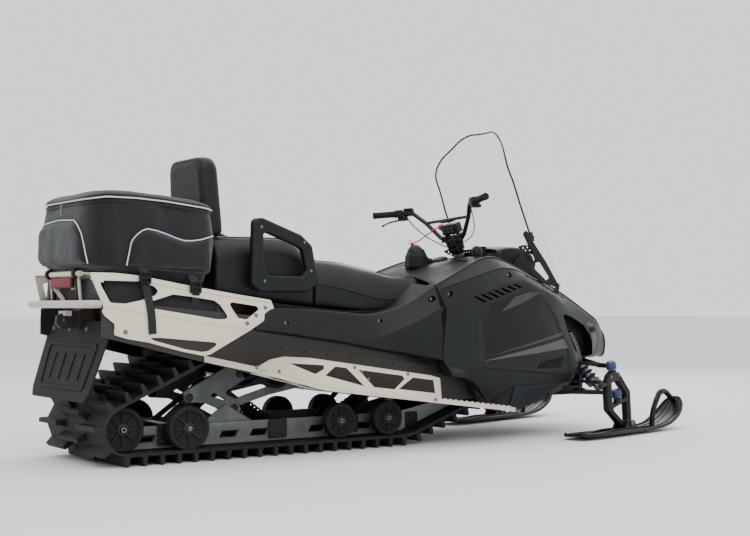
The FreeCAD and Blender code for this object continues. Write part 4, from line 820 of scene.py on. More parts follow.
def edge_distance(x, z, outline):
    best = 1e9
    p = Vector((x, z))
    for a, b in zip(outline, outline[1:] + outline[:1]):
        a, b = Vector(a), Vector(b)
        t = max(0.0, min(1.0, (p - a).dot(b - a) / max(1e-9, (b - a).length_squared)))
        best = min(best, (p - a.lerp(b, t)).length)
    return best


def round_outline(points, radius):
    return [(p.x, p.y) for p in filleted([(x, z, 0) for x, z in points], radius, 5, True)]


sunk_zone = round_outline([(243, 590), (300, 655), (383, 676), (500, 716), (560, 722), (640, 704), (714, 648),
                           (765, 590), (800, 520), (838, 440), (866, 388), (838, 338), (620, 330), (290, 352),
                           (252, 384), (242, 485)], 26)
body_sections = rounded_sections(body_cage, body_steps, [0, 16, 30, 160, 260, 160, 14, 8, 0])
for section in body_sections:
    for p in section:
        if 200 < p.x < 900 and inside(p.x, p.z, sunk_zone):
            share = min(1.0, edge_distance(p.x, p.z, sunk_zone) / 16)
            p.y += 6.0 * share * share * (3 - 2 * share)
body_tree = tree_of(sheet(body_sections))


def surface_y(tree, x, z):
    """Width of the outermost skin at a point of the side view."""
    hit = tree.ray_cast(Vector((x, -900, z)), Vector((0, 1, 0)))[0]
    return (hit or tree.find_nearest(Vector((x, -400, z)))[0]).y


def patch(outline, inner, outer, tree=body_tree, cell=22.0):
    """Solid that follows the skin under an outline of the side view, from inner to outer off it."""
    work = bmesh.new()
    face = work.faces.new([work.verts.new((x, 0, z)) for x, z in outline])
    bmesh.ops.triangulate(work, faces=[face])
    for normal in (Vector((1, 0, 0)), Vector((0, 0, 1))):
        reach = [v.co.dot(normal) for v in work.verts]
        for k in range(math.floor(min(reach) / cell) + 1, math.ceil(max(reach) / cell)):
            bmesh.ops.bisect_plane(work, geom=work.verts[:] + work.edges[:] + work.faces[:],
                                   plane_co=normal * (k * cell), plane_no=normal)
    widths = {}
    for v in work.verts:
        widths[(round(v.co.x, 4), round(v.co.z, 4))] = surface_y(tree, v.co.x, v.co.z)
    shape = bmesh.ops.extrude_face_region(work, geom=work.faces[:])
    raised = {v for v in shape["geom"] if isinstance(v, bmesh.types.BMVert)}
    for v in work.verts:
        v.co.y = widths[(round(v.co.x, 4), round(v.co.z, 4))] - (outer if v in raised else inner)
    bmesh.ops.recalc_face_normals(work, faces=work.faces)
    return finished(work)


def slot_outline(ax, az, bx, bz, width):
    """Thin bar of the side view from a to b."""
    side = Vector((bz - az, ax - bx)).normalized() * width / 2
    return [(ax + side.x, az + side.y), (bx + side.x, bz + side.y), (bx - side.x, bz - side.y),
            (ax - side.x, az - side.y)]


def oval(x, z, rx, rz, tilt=0.0):
    turn = math.radians(tilt)
    return [(x + a * math.cos(turn) - b * math.sin(turn), z + a * math.sin(turn) + b * math.cos(turn))
            for a, b in circle(rx, 24, rz)]


def thick_skin(surface, depth):
    """Closed shell of a skin, depth thick towards the middle."""
    return skin([line + [p + Vector((0, depth, 0)) for p in line[::-1]] for line in surface])


panel_spots = [(84, 701), (466, 795)]
openings = [[(205 + 283 * t, 686 + 70 * t), (268 + 262 * t, 659 + 83 * t),
             (268 + 262 * u, 659 + 83 * u), (205 + 283 * u, 686 + 70 * u)]
            for t, u in [(i / 7 + 0.02, i / 7 + 0.085) for i in range(7)]]
openings += [slot_outline(622 + 18 * i, 340, 650 + 18 * i, 374 + 2.4 * i, 7) for i in range(10)]
openings += [oval(84, 701, 17, 12, 40), oval(466, 795, 19, 11, 35)]
intake = round_outline([(830, 606), (862, 512), (903, 430), (978, 388), (1099, 384), (1156, 388), (1151, 424),
                        (1099, 505), (1048, 548), (915, 594)], 14)
panel = place("body_panel_r", thick_skin(body_sections, 70), plastic, 28)
cut(panel, [patch(o, -16, 14) for o in openings] + [patch(intake, -52, 30)])
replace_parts(panel, "side_panel_r")
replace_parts(left_of(panel, "body_panel_l"), "side_panel_l")

decal = round_outline([(250, 592), (304, 652), (384, 671), (500, 710), (560, 717), (636, 699), (708, 645),
                       (759, 588), (792, 520), (812, 470), (290, 402), (256, 392), (250, 485)], 24)
rib_at = [(884 + 92 * i / 11, 504 - 114 * i / 11) for i in range(12)]
ridge_at = [i / 7 + 0.105 for i in range(7)]
belly = [(253, 384), (280, 351), (479, 333), (684, 315), (880, 299)]
belly_lines = [(*a, *b) for a, b in zip(belly, belly[1:])] + [(348, 186, 469, 262)]
patches = [
    ("decal_zone", gloss_black, -2, 0.8, [decal]),
    # Decal facet in lighter grey: a painted highlight along the decal zone's upper edge.
    ("decal_facet", stripe_and_highlight_grey, 0, 1.6, [[(377, 617), (466, 688), (560, 712), (641, 710), (520, 662)]]),
    ("wedge_taupe", taupe, -1, 1.7, [[(262, 385), (812, 482), (824, 462), (843, 437)]]),
    ("wedge_line", stripe_and_highlight_grey, 0, 1.5, [[(289, 405), (801, 516), (806, 500)]]),
    ("wedge_dark", plastic_dark, 0, 1.3, [[(289, 398), (806, 499), (809, 484)]]),
    ("nose_accent", taupe, -1, 1.8, [
        [(1117, 503), (1180, 511), (1190, 466), (1162, 394), (1149, 403), (1130, 462)]]),
    ("nose_accent_top", hole_black, -1, 1.5, [[(1104, 534), (1172, 537), (1179, 517), (1112, 509)]]),
    ("nose_accent_grey", stripe_and_highlight_grey, -1, 1.3, [[(1070, 556), (1134, 563), (1166, 541), (1102, 538)]]),
    ("intake_ribs", alloy, -26, -1, [slot_outline(x - 8, z, x + 30, z + 5, 4.5) for x, z in rib_at]),
    # Louvre edge and ridges in the lighter grey: painted highlights on the raised ribs.
    ("louvre_edge", highlight_grey, -1, 1.6, [slot_outline(262, 650, 532, 736, 4)]),
    ("louvre_ridges", highlight_grey, -1, 2.2, [
        slot_outline(207 + 283 * t, 684 + 70 * t, 268 + 262 * t, 661 + 83 * t, 5) for t in ridge_at]),
    ("belly_seam", hole_black, -1, 0.7, [slot_outline(*line, 4) for line in belly_lines]),
    # Belly facet in the lighter grey: a painted highlight over this lower facet.
    ("belly_facet", highlight_grey, -2, 5, [
        [(474, 260), (708, 263), (872, 270), (862, 248), (672, 184), (532, 150), (467, 158)]]),
    # Belly slots: black ovals raised on the panel, painted shade standing in for the slots' openings.
    ("belly_slots", hole_black, -1, 6, [oval(842, 240, 13, 7, 22), oval(724, 206, 13, 7, 22)])]
for name, look, inner, outer, outlines in patches:
    both_sides(name, [patch(outline, inner, outer) for outline in outlines], look, slot="body_plastic")


def bolts_on(tree, spots, inset, r):
    """Bolt heads sunk in the openings of a skin."""
    return [bolt((x, surface_y(tree, x, z) + inset, z), (0, -1, 0.1), r, 5) for x, z in spots]


both_sides("panel_bolts", bolts_on(body_tree, panel_spots, 13, 6.5), steel, 40)


def skin_line(row, stations, out=0.0):
    """Points on one row of the body cage, at stations that may lie between two."""
    path = smooth_path([(x, -y - out, z) for x, y, z in [section[row] for section in body_cage]], body_steps)
    line = []
    for t in stations:
        k = min(len(path) - 2, int(t * body_steps))
        line.append(path[k].lerp(path[k + 1], t * body_steps - k))
    return line


seam = [p + Vector((0, 0, 1.0)) for p in skin_line(1, [t / 12 for t in range(2, 92)], 0.3)]
both_sides("shoulder_seam", sweep(seam, 1.7, 6), hole_black)
both_sides("hood_edge", sweep(skin_line(0, [t / 12 for t in range(132)], -1), 5.5, 8), plastic)
both_sides("nose_edge", sweep([(x, -y - 1, z) for x, y, z in body_cage[-1]], 5.5, 8), plastic)
rear_edge = smooth_path([(x, -y - 0.5, z) for x, y, z in body_cage[0]], 4)
both_sides("panel_rear_edge", sweep(rear_edge, 3.5, 8), plastic_dark)


# Hood: crowned skin between the hood lines, with a raised middle and two creases

def hood_rise(x, u):
    """Height of the hood over its edge at a share u of its half width."""
    crown = lerp_line([(463, 10), (590, 26), (1003, 26), (1343, 12)], x)
    ridge = 7.0 * max(0.0, min(1.0, (0.42 - abs(u)) / 0.06)) * lerp_line([(463, 0), (640, 1), (1343, 1)], x)
    return crown * (1 - abs(u) ** 2.4) + ridge


hood_lines = skin_line(0, [4 + t / 6 for t in range(43)], -2)
hood_rings = [[Vector((p.x, p.y * -u, p.z + hood_rise(p.x, u))) for u in [k / 14 for k in range(-14, 15)]]
              for p in hood_lines]
hood = thickened(place("hood_skin", sheet(hood_rings), plastic, 25), 0.006)
shade(hood.data, 25)
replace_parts(hood, "hood")


def hood_at(x, u, lift):
    """Point on the hood at a share u of its half width, lifted off the skin."""
    half = lerp_line([(p.x, -p.y) for p in hood_lines], x)
    edge = lerp_line([(p.x, p.z) for p in hood_lines], x)
    return Vector((x, -half * u, edge + hood_rise(x, u) + lift))


def lamp_skin(grow, lift):
    """Almond-shaped sheet over one lamp, pillowed by lift."""
    rows = []
    for t in [i / 14 for i in range(15)]:
        x = 1214 - grow + (110 + 2 * grow) * t
        bow = math.sqrt(max(0.0, 1 - (2 * t - 1) ** 4))
        middle, half = 0.69 - 0.09 * t, (0.2 + grow * 0.0026) * bow + 0.004
        rows.append([hood_at(x, middle + half * s, 0.5 + lift * (1 - s ** 4) * bow)
                     for s in [j / 5 - 1 for j in range(11)]])
    return sheet(rows)


lamps = both_sides("headlamp_lens", lamp_skin(0, 5), lens, 50)
bezels = both_sides("headlamp_bezel", lamp_skin(9, 2.2), gloss_black, 50)
for piece in lamps + bezels:
    thickened(piece, 0.004)
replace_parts(lamps[0], "headlight")

nose_x, nose_middle = 1343, 444
nose_right = [Vector((x, -y, z)) for x, y, z in body_cage[-1]]
nose_loop = nose_right + [Vector((p.x, -p.y, p.z)) for p in nose_right[::-1]]
nose_loop += [Vector((nose_x, p.y, p.z)) for p in hood_rings[-1][-2:0:-1]]
nose_face = [[Vector((p.x + out, p.y * scale, nose_middle + (p.z - nose_middle) * scale)) for p in nose_loop]
             for scale, out in ((1.0, 0), (0.97, 10), (0.9, 16), (0.55, 18))]
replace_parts(place("nose_cap", skin(nose_face), plastic, 30), "nose")
belly_edge = skin_line(8, [min(7.9 + t / 12, 10.99) for t in range(37)])
under = [[Vector((p.x, p.y + 2 * abs(p.y) * k / 6, p.z + 2)) for k in range(7)] for p in belly_edge]
place("nose_underside", sheet(under), plastic_dark)


# Side covers below the seats, flaring out to the body panel

cover_cage = [
    [(-905, 270, 594), (-900, 312, 596), (-900, 322, 572), (-902, 335, 545), (-900, 326, 540)],
    [(-790, 262, 640), (-790, 314, 636), (-790, 328, 585), (-790, 341, 532), (-790, 328, 526)],
    [(-640, 262, 636), (-640, 316, 632), (-640, 334, 552), (-640, 344, 511), (-640, 330, 505)],
    [(-450, 262, 622), (-450, 314, 618), (-450, 342, 500), (-450, 345, 484), (-450, 332, 478)],
    [(-281, 250, 612), (-281, 298, 609), (-281, 347, 500), (-281, 344, 452), (-281, 331, 446)],
    [(-140, 236, 642), (-140, 320, 641), (-140, 373, 549), (-140, 357, 430), (-140, 331, 424)],
    [(-60, 228, 694), (-60, 346, 678), (-60, 399, 588), (-60, 386, 414), (-60, 331, 408)],
    [(18, 215, 752), (18, 388, 736), (44, 430, 642), (30, 434, 396), (30, 332, 390)]]
cover_sections = rounded_sections(cover_cage, 10, [0, 14, 22, 10, 0])
cover_tree = tree_of(sheet(cover_sections))
cover = place("side_cover_skin_r", thick_skin(cover_sections, 9), plastic, 28)
cover_holes = [oval(-2, 677, 17, 12, 35), oval(-750, 572, 13, 9, 5), oval(-246, 577, 13, 9, 10)]
cut(cover, [patch(o, -14, 14, cover_tree) for o in cover_holes])
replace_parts(cover, "side_cover_r")
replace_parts(left_of(cover, "side_cover_skin_l"), "side_cover_l")
both_sides("cover_bolts", bolts_on(cover_tree, ((-2, 677), (-750, 572), (-246, 577)), 8, 6), steel, 40)


# Dash between the hood lines, from behind the visor back to the seat's nose

side_line = sorted([(p.x, -p.y, p.z) for p in skin_line(0, [t / 8 for t in range(48)], -2)])
half_at = [(x, y) for x, y, z in side_line]
edge_at = [(x, z) for x, y, z in side_line]
centre_at = [(60, 772), (105, 786), (197, 828), (355, 862), (463, 874), (600, 880)]
dash_shares = [k / 16 for k in range(-16, 17)]


def dash_start(u):
    """Length at which the dash begins, further back at its sides."""
    return 100 - 78 * u * u


dash_rings = []
for i in range(31):
    ring = []
    for u in dash_shares:
        x = dash_start(u) + (600 - dash_start(u)) * i / 30
        edge_z, mid_z = lerp_line(edge_at, x), lerp_line(centre_at, x)
        step = 1 - min(1.0, max(0.0, (abs(u) - 0.38) / 0.2))
        z = edge_z - 4 + (mid_z - edge_z + 8) * (1 - u * u) + 9 * step * min(1.0, (x - 22) / 120)
        ring.append(Vector((x, lerp_line(half_at, x) * u, z)))
    dash_rings.append(ring)
dash = place("dash_skin", sheet(dash_rings), plastic, 30)
thickened(dash, 0.008, ("BEVEL", {"width": 0.002, "segments": 2}))
place("dash_lip", sweep([p - Vector((0, 0, 4)) for p in dash_rings[0]], 5.5, 8), plastic_dark)

turned_pieces = [
    ("pod", plastic, 50, 40, (214, 0, 790), (-0.13, 0, 1), [
        (-12, 26), (6, 38), (26, 43), (52, 46), (88, 46.5), (116, 44), (138, 37), (153, 24), (160, 10),
        (161, 0)]),
    ("pod_collar", plastic_dark, 50, 40, (212, 0, 800), (-0.28, 0, 1), [
        (-8, 72), (0, 70), (8, 65), (18, 56), (24, 44)]),
    ("starter_knob", plastic_dark, 50, 28, (434, -200, 842), (-0.08, 0, 1), [
        (0, 17), (20, 17), (34, 20), (48, 25), (66, 26.5), (82, 25), (94, 19), (100, 9), (101, 0)]),
    ("knob_base", plastic_dark, 50, 28, (434, -200, 856), (-0.2, -0.1, 1), [
        (-12, 34), (8, 32), (14, 27), (20, 19)]),
    ("fuel_cap", plastic_dark, 30, 36, (350, 0, 868), (-0.3, 0, 1), [
        (0, 46), (10, 46), (16, 42), (20, 30), (17, 26), (17, 0)])]
for name, look, smooth, sides, foot, axis, profile in turned_pieces:
    place(name, lathe(profile, foot, axis, sides), look, smooth)
pod_ring = [(214 - 0.13 * 66 + a, b, 856 + 0.13 * a) for a, b in circle(47, 48)]
place("pod_seam", sweep(pod_ring, 2.2, 6, closed=True), plastic_dark)
neck_line = smooth_path([(236, 0, 888), (278, 0, 866), (330, 0, 856), (400, 0, 858), (432, 0, 862)], 6)
neck_width = [24 - 5 * abs(math.sin(0.9 * k)) for k in range(len(neck_line))]
place("pod_neck", sweep(neck_line, neck_width, 18), plastic_dark, 60)
switches = [block((x, y, 866), (x + 26, y + 18, 876), 2.5) for x in (340, 380, 420) for y in (-176, -150)]
place("dash_switches", switches, gloss_black)


# Visor over the instruments: open to the rear, pierced by rows of round holes

visor_top = [(592, 934), (625, 942), (660, 948), (700, 951), (740, 950), (775, 943), (810, 930), (836, 911)]
visor_end = 846
visor_rings = []
for x in range(592, 843, 14):
    top, foot = lerp_line(visor_top, x), lerp_line(edge_at, x) - 6
    right = [(172, foot), (172.5, (foot + top) / 2), (171.5, top - 34), (167, top - 18), (155, top - 8),
             (130, top - 3), (90, top), (45, top + 1), (0, top + 1)]
    visor_rings.append([Vector((x, -y, z)) for y, z in right] + [Vector((x, y, z)) for y, z in right[-2::-1]])
front_cap = [[p.lerp(Vector((visor_end, p.y * 0.97, lerp_line(edge_at, visor_end))), t)
              for p in visor_rings[-1]] for t in (0.5, 1.0)]
visor = thickened(place("visor", sheet(visor_rings + front_cap), plastic, 35), 0.005)
hole_rows = ((18, range(630, 836, 17)), (34, range(770, 826, 15)), (50, range(778, 828, 15)))
cut(visor, [lathe([(-200, 4.6), (200, 4.6)], (x, 0, lerp_line(visor_top, x) - row), (0, 1, 0), 10)
            for row, xs in hole_rows for x in xs])
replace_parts(visor, "instrument_hood")
place("visor_rim", sweep([(591, p.y, p.z) for p in visor_rings[0]], 4.5, 8), plastic_dark, 50)
place("instrument_screen", block((646, -120, 858), (660, 120, 922), 6), gloss_black, 30)
place("instrument_bezel", plate(rect(-132, -40, 132, 36), 10, 3, facing_back(652, 892),
                                [rect(-112, -24, 112, 24)], radius=14, hole_radius=8), plastic_dark, 30)
visor_ribs = [block((x, -178, z - 5), (x + 66, -172, z + 5), 2.4, 2, turn_about((x, -175, z), -38))
              for x, z in ((652, 858), (690, 866))]
both_sides("visor_ribs", visor_ribs, plastic_dark)


# Windshield: dark edge along the sides and top, clips, brackets and their bolts

glass_middle = [(655, 1165), (830, 1112), (998, 1034), (1263, 862), (1400, 760), (1545, 640)]
glass_sweep = [(655, 300), (830, 330), (998, 340), (1263, 285), (1400, 260), (1545, 240)]


def glass_point(y, z, off=-3.0):
    """Point on the windshield's middle surface."""
    return Vector((lerp_line(glass_middle, z) - lerp_line(glass_sweep, z) * (y / 300) ** 2 + off, y, z))


glass_half = [(299, 1000), (299, 1150), (290, 1390), (120, 1541)]
glass_outline = [(-y, z, 0) for y, z in glass_half] + [(y, z, 0) for y, z in glass_half[::-1]]
glass_outline = filleted(glass_outline, [0, 300, 220, 200, 200, 220, 300, 0], 14)
edge = []
for a, b in zip(glass_outline, glass_outline[1:]):
    parts = max(1, round((b - a).length / 30))
    edge += [a.lerp(b, k / parts) for k in range(parts)]
edge = [glass_point(p.x * 0.997, min(1538, p.y)) for p in edge + glass_outline[-1:]]
place("windshield_edge", sweep(edge, 4.6, 8), gloss_black, 50)
place("windshield_clips", [block((-9, -5, -14), (9, 5, 14), 3, 2, Matrix.Translation(glass_point(y, z, -4)))
                           for y in (-292, 292) for z in (984, 1002)], plastic_dark)
both_sides("bracket_bolts", bolts_at(-309, ((659, 1002), (733, 884), (868, 754)), 7, 5), plastic_dark, 40)
mount_line = [(639, 1003), (651, 1019), (667, 1018), (702, 971), (792, 868), (886, 741), (875, 735),
              (811, 754), (762, 760), (679, 812), (691, 838), (717, 882), (685, 930)]
mount_hole = [(722, 862), (750, 866), (816, 788), (793, 774), (714, 832)]
mounts = both_sides("windshield_brackets", [
    plate(mount_line, 8, 2.5, at_y(-306), [mount_hole], radius=7, hole_radius=7),
    plate([(846, 706), (874, 694), (888, 756), (862, 756)], 6, 2, at_y(-305.5)),
    block((846, -309, 708), (874, -243, 718), 3, 2, turn_about((860, 0, 713), 22))], plastic_dark)
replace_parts(mounts[0], "windshield_mount")
brow_line = [(608, 938), (642, 949), (732, 950), (746, 930), (714, 902), (680, 908), (644, 922)]
brow_spots = ((648, 935), (676, 939), (706, 937), (664, 922), (692, 924), (720, 926))
both_sides("visor_brow", plate(brow_line, 5, 1.5, at_y(-296), [oval(x, z, 6, 5) for x, z in brow_spots],
                               radius=8), plastic_dark)


# Handlebar: bent bar, crossbar, cast riser with clamps, and the control box; given straight ahead

steer_angle = 12
post_foot, post_axis = Vector((490, 0, 870)), Vector((-0.374607, 0, 0.927184))
turned = turn_about(post_foot, steer_angle, post_axis)
leaning = Matrix.Translation(post_foot) @ Matrix.Rotation(math.radians(-22), 4, "Y")


def steered(name, shape, material):
    """Places a piece given straight ahead, turned with the skis."""
    mesh = as_mesh(shape)
    mesh.transform(turned)
    return place(name, mesh, material, 40, "handlebar")


def on_post(shapes):
    """Meshes given along the post (z up the post) put in place."""
    mesh = joined(shapes)
    mesh.transform(leaning)
    return mesh


half_bar = [(255, 370, 1140), (352, 190, 1138), (400, 140, 1080), (436, 72, 994)]
bar_path = filleted(half_bar + [(x, -y, z) for x, y, z in half_bar[::-1]], [0, 42, 60, 24, 24, 60, 42, 0], 8)
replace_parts(steered("bar_tube", sweep(bar_path, 11, 18), bronze), "handlebar")
cross = [(399, y, 1078 if abs(y) < 40 else 1081) for y in (-143, -60, -30, 0, 30, 60, 143)]
steered("cross_bar", sweep(cross, [8, 8, 11, 11.5, 11, 8, 8], 16), bronze)
riser = block((-24, -50, 44), (24, 50, 132), 7)
for v in riser.vertices:
    share = min(1.0, max(0.0, (v.co.z - 44) / 88))
    v.co.y *= 0.46 + 0.54 * share
    v.co.x *= 0.86 + 0.14 * share
webs = [block((-30, y - 4, 62), (30, y + 4, 128), 2) for y in (-26, 0, 26)]
clamp = [block((-26, y - 17, 118), (20, y + 17, 150), 5) for y in (-42, 42)]
neck = lathe([(-14, 0), (-14, 13), (14, 13), (14.5, 24), (18, 27), (40, 26), (46, 22), (52, 18)],
             (0, 0, 0), (0, 0, 1), 24)
steered("riser", on_post([riser] + webs + clamp + [neck]), bronze)
heads = [bolt((-29, y + dy, z), (-1, 0, 0), 5.5, 5) for y in (-42, 42) for dy in (-9, 9) for z in (126, 142)]
heads += [bolt((-27, y, z), (-1, 0, 0), 5, 5) for y in (-13, 13) for z in (74, 100)]
steered("riser_bolts", on_post(heads), bronze)
box_parts = [block((-18, -50, 152), (34, 50, 204), 9), block((-22, -42, 160), (-16, 42, 196), 3)]
steered("control_box", on_post(box_parts), plastic_dark)
keys = [block((-26, y - 9, z - 6), (-21, y + 9, z + 6), 2) for y in (-26, 0, 26) for z in (170, 186)]
steered("control_keys", on_post(keys), stripe_and_highlight_grey)
stop_cap = lathe([(0, 12), (4, 17), (22, 17), (28, 13), (30, 0)], (12, 49, 190), (0, 1, 0.1), 24)
steered("stop_cap", on_post([stop_cap]), red)


class Half:
    """One end of the bar: its tip and the way inwards."""

    def __init__(self, side):
        self.tip = Vector((255, side * 370, 1140))
        self.way = (Vector((352, side * 190, 1138)) - self.tip).normalized()

    def beside(self, low, high, bevel):
        """Block beside the bar: first size along it, second across it, third upwards."""
        side = Vector((-self.way.y, self.way.x, 0)).normalized()
        up = self.way.cross(side)
        if up.z < 0:
            side, up = -side, -up
        place_it = Matrix((self.way, side, up)).transposed().to_4x4()
        place_it.translation = self.tip
        return block(low, high, bevel, 3, place_it)

    def lever(self, points):
        """Smooth path through points given by the way along the bar and an offset."""
        return smooth_path([self.tip + self.way * s + Vector(offset) for s, offset in points], 6)


left, right = Half(1), Half(-1)
grip_profile = [(-3, 9), (-3, 15), (0, 18), (6, 18), (8, 16)]
for k in range(14):
    grip_profile += [(10 + k * 7, 15.6), (12.5 + k * 7, 16.7), (15 + k * 7, 16.7), (16.4 + k * 7, 15.6)]
grip_profile += [(110, 16), (112, 20.5), (118, 20.5), (119, 13), (119, 11.3)]
grips = [lathe(grip_profile, end.tip, end.way, 28) for end in (left, right)]
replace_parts(steered("grips", grips, rubber), "hand_controls")
steered("left_switches", [left.beside((124, -19, -20), (156, 19, 19), 6),
                          left.beside((160, -16, -15), (214, 16, 14), 6),
                          left.beside((162, -19, 12), (210, 19, 25), 5),
                          left.beside((128, -10, -36), (176, 30, -14), 5)], plastic_dark)
steered("right_switches", [right.beside((122, -21, -21), (166, 21, 20), 7),
                           right.beside((168, -14, -16), (186, 14, 15), 4),
                           right.beside((124, -30, -32), (154, 12, -16), 5)], plastic_dark)
lever = left.lever([(160, (24, 0, -22)), (128, (44, 0, -26)), (80, (54, 0, -30)), (40, (52, 0, -38)),
                    (14, (44, 0, -52))])
knob = lathe([(-7, 0), (-5, 5), (0, 7), (5, 5), (7, 0)], lever[-1], (0.2, -0.3, -1), 14)
steered("brake_lever", [sweep(lever, [5.5 - 2.0 * k / len(lever) for k in range(len(lever))], 10), knob],
        plastic_dark)
throttle = right.lever([(140, (-22, 0, -22)), (112, (-36, 0, -32)), (84, (-40, 0, -40))])
steered("throttle_lever", sweep(throttle, 1, flat=(14, 5)), plastic_dark)


# Cords: short cables of the controls and the red stop tether, each from its own route of points

def route_line(points, steps=16):
    """Smooth line of a cord through the space near its route's points."""
    curve = bpy.data.curves.new("route", "CURVE")
    curve.dimensions = "3D"
    curve.resolution_u = steps
    route = curve.splines.new("NURBS")
    route.points.add(len(points) - 1)
    for point, p in zip(route.points, points):
        point.co = (p[0] / 1000, p[1] / 1000, p[2] / 1000, 1)
    route.order_u = 3
    route.use_endpoint_u = True
    return curve


def line_points(curve):
    thing = bpy.data.objects.new("route", curve)
    line = [v.co.copy() for v in bpy.data.meshes.new_from_object(thing).vertices]
    bpy.data.objects.remove(thing)
    return line


def cable(name, points, diameter):
    """Cable of the hand controls along its route, moving with the bar."""
    points = [turned @ Vector(p) for p in points]
    curve = route_line(points)
    length = distances(line_points(curve))[-1]
    curve.bevel_depth = diameter / 2
    curve.bevel_resolution = 4
    curve.materials.append(plastic_dark)
    piece = add_object(name, curve)
    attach(piece, "handlebar")
    tuple(p / 1000 for p in points[0])


cable("brake_hose", [(342, 220, 1119), (352, 214, 1100), (374, 200, 1066), (402, 142, 1008), (426, 82, 968),
                     (444, 50, 950), (447, 38, 948)], 0.006)
cable("heater_cable", [(348, -200, 1121), (362, -192, 1100), (400, -170, 1072), (446, -140, 1024),
                       (466, -100, 988), (458, -64, 966), (452, -40, 962)], 0.005)
cable("throttle_cable", [(338, -212, 1119), (350, -200, 1096), (378, -152, 1046), (410, -106, 998),
                         (436, -64, 972), (446, -40, 962)], 0.005)

cap_end, cap_far = [turned @ leaning @ Vector(p) for p in ((12, 78, 193), (12, 94, 194))]
clip_near = Vector((196, 12, 956))
tether_points = [cap_end, cap_far, cap_far.lerp(clip_near, 0.3) + Vector((0, 8, -4)),
                 cap_far.lerp(clip_near, 0.7) + Vector((0, 4, -8)), Vector((202, 12, 960)),
                 Vector((190, 12, 952))]
tether_line = line_points(route_line(tether_points, 24))
tether = place("stop_tether", sweep([p * 1000 for p in tether_line], 3.5, 10), red, 60, None)
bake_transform(tether)
clip_ring = [(178 + a, 16, 962 + b) for a, b in circle(9, 20)]
clip_body = lathe([(-12, 5), (-8, 9), (6, 9), (12, 6)], (190, 13, 950), (0.5, 0.2, -0.6), 16)
clip = place("tether_clip", [clip_body, sweep(clip_ring, 1.6, 6, closed=True)], red, 50)
distances(tether_line)[-1]
[tuple(p) for p in tether_line]


# Rear plates: pressed sheet with round window corners, leaning in above the bend line

def lean_out(mesh):
    """Gives a flat plate the lean of the rear side plates."""
    work = bmesh.new()
    work.from_mesh(mesh)
    direction = Vector((664, 0, -101)).normalized()
    normal = Vector((-direction.z, 0, direction.x))
    bmesh.ops.bisect_plane(work, geom=work.verts[:] + work.edges[:] + work.faces[:],
                           plane_co=Vector((-1589, 0, 643)), plane_no=normal)
    for v in work.verts:
        v.co.y += plate_y_at(v.co.x, v.co.z)
    return finished(work)


def on_plate(points, out):
    return [Vector((x, plate_y_at(x, z) - out, z)) for x, z in points]


plate_outline = [(-1640, 778), (-1526, 777), (-1422, 768), (-1190, 728), (-997, 698), (-808, 671),
                 (-794, 624), (-844, 589), (-932, 542), (-1122, 444), (-1150, 438), (-1253, 459),
                 (-1398, 497), (-1495, 514), (-1549, 530), (-1546, 573), (-1590, 606), (-1600, 624),
                 (-1594, 640)]
plate_windows = [
    [(-1604, 746), (-1426, 744), (-1362, 724), (-1344, 706), (-1362, 688), (-1426, 668), (-1500, 654),
     (-1563, 657)],
    [(-1386, 662), (-1280, 692), (-1202, 684), (-1090, 668), (-1064, 650), (-1026, 590), (-1090, 590),
     (-1202, 608), (-1386, 636)],
    [(-1026, 664), (-884, 644), (-874, 631), (-943, 588), (-984, 594)],
    [(-1396, 517), (-1346, 516), (-1098, 493), (-1092, 482), (-1131, 459), (-1160, 455), (-1237, 468),
     (-1374, 505)]]
flat_plate = plate(plate_outline, 4.5, 1.4, at_y(0), plate_windows, radius=9, hole_radius=16, steps=6)
plates = both_sides("rear_plate", lean_out(flat_plate), cream)
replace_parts(plates[0], "side_plate_r")
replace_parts(plates[1], "side_plate_l")
plate_bolts = [(-1501, 541), (-944, 570), (-895, 604), (-843, 636)]
both_sides("plate_bolts", [bolt((x, plate_y_at(x, z) - 2, z), (0, -1, 0), 7.5, 5) for x, z in plate_bolts],
           steel, 40)
bead = [(-1385, 737), (-1250, 716), (-1100, 694), (-960, 676), (-826, 660)]
both_sides("plate_bead", sweep(smooth_path(on_plate(bead, 1.8), 6), 2.4, 8), cream)
bend_edge = [(-1578, 640), (-1400, 613), (-1200, 583), (-1000, 553), (-940, 544)]
both_sides("plate_bend", sweep(smooth_path(on_plate(bend_edge, 1.2), 6), 2.2, 8), cream)
flange = [p - Vector((0, 0, 3)) for p in on_plate(plate_outline[:7], -8)]
both_sides("plate_flange", sweep(flange, 1, flat=(16, 3)), cream)


# Painted shade under the bag: dark sheets in the bag's fabric behind the windows of the plates and across the
# rear

side_shade_rows = []
for x in range(-1572, -1051, 26):
    top = lerp_line([(-1640, 770), (-1422, 760), (-1190, 720), (-997, 690)], x) - 4
    foot = lerp_line([(-1640, 640), (-1386, 622), (-1200, 598), (-1040, 586)], x)
    row = []
    for j in range(7):
        z = top + (foot - top) * j / 6
        fold = 3 * math.sin(x / 31 + 1.3 * j) * (j / 6)
        row.append(Vector((x, plate_y_at(x, z) + 20 + fold, z)))
    side_shade_rows.append(row)
rear_shade_rows = [[Vector((-1585 + 2.5 * math.sin(y / 40 + z / 30), y, z)) for z in (752, 728, 704, 680, 664)]
              for y in range(-288, 289, 24)]
shade_sheets = both_sides("bag_skirt", sheet(side_shade_rows), cordura, 60)
for shade_piece in shade_sheets + [place("bag_skirt_rear", sheet(rear_shade_rows), cordura, 60)]:
    modified(shade_piece, ("SOLIDIFY", {"thickness": 0.0025}))


# Tail: round bar caps, lamp strip, light struts under it and the number light

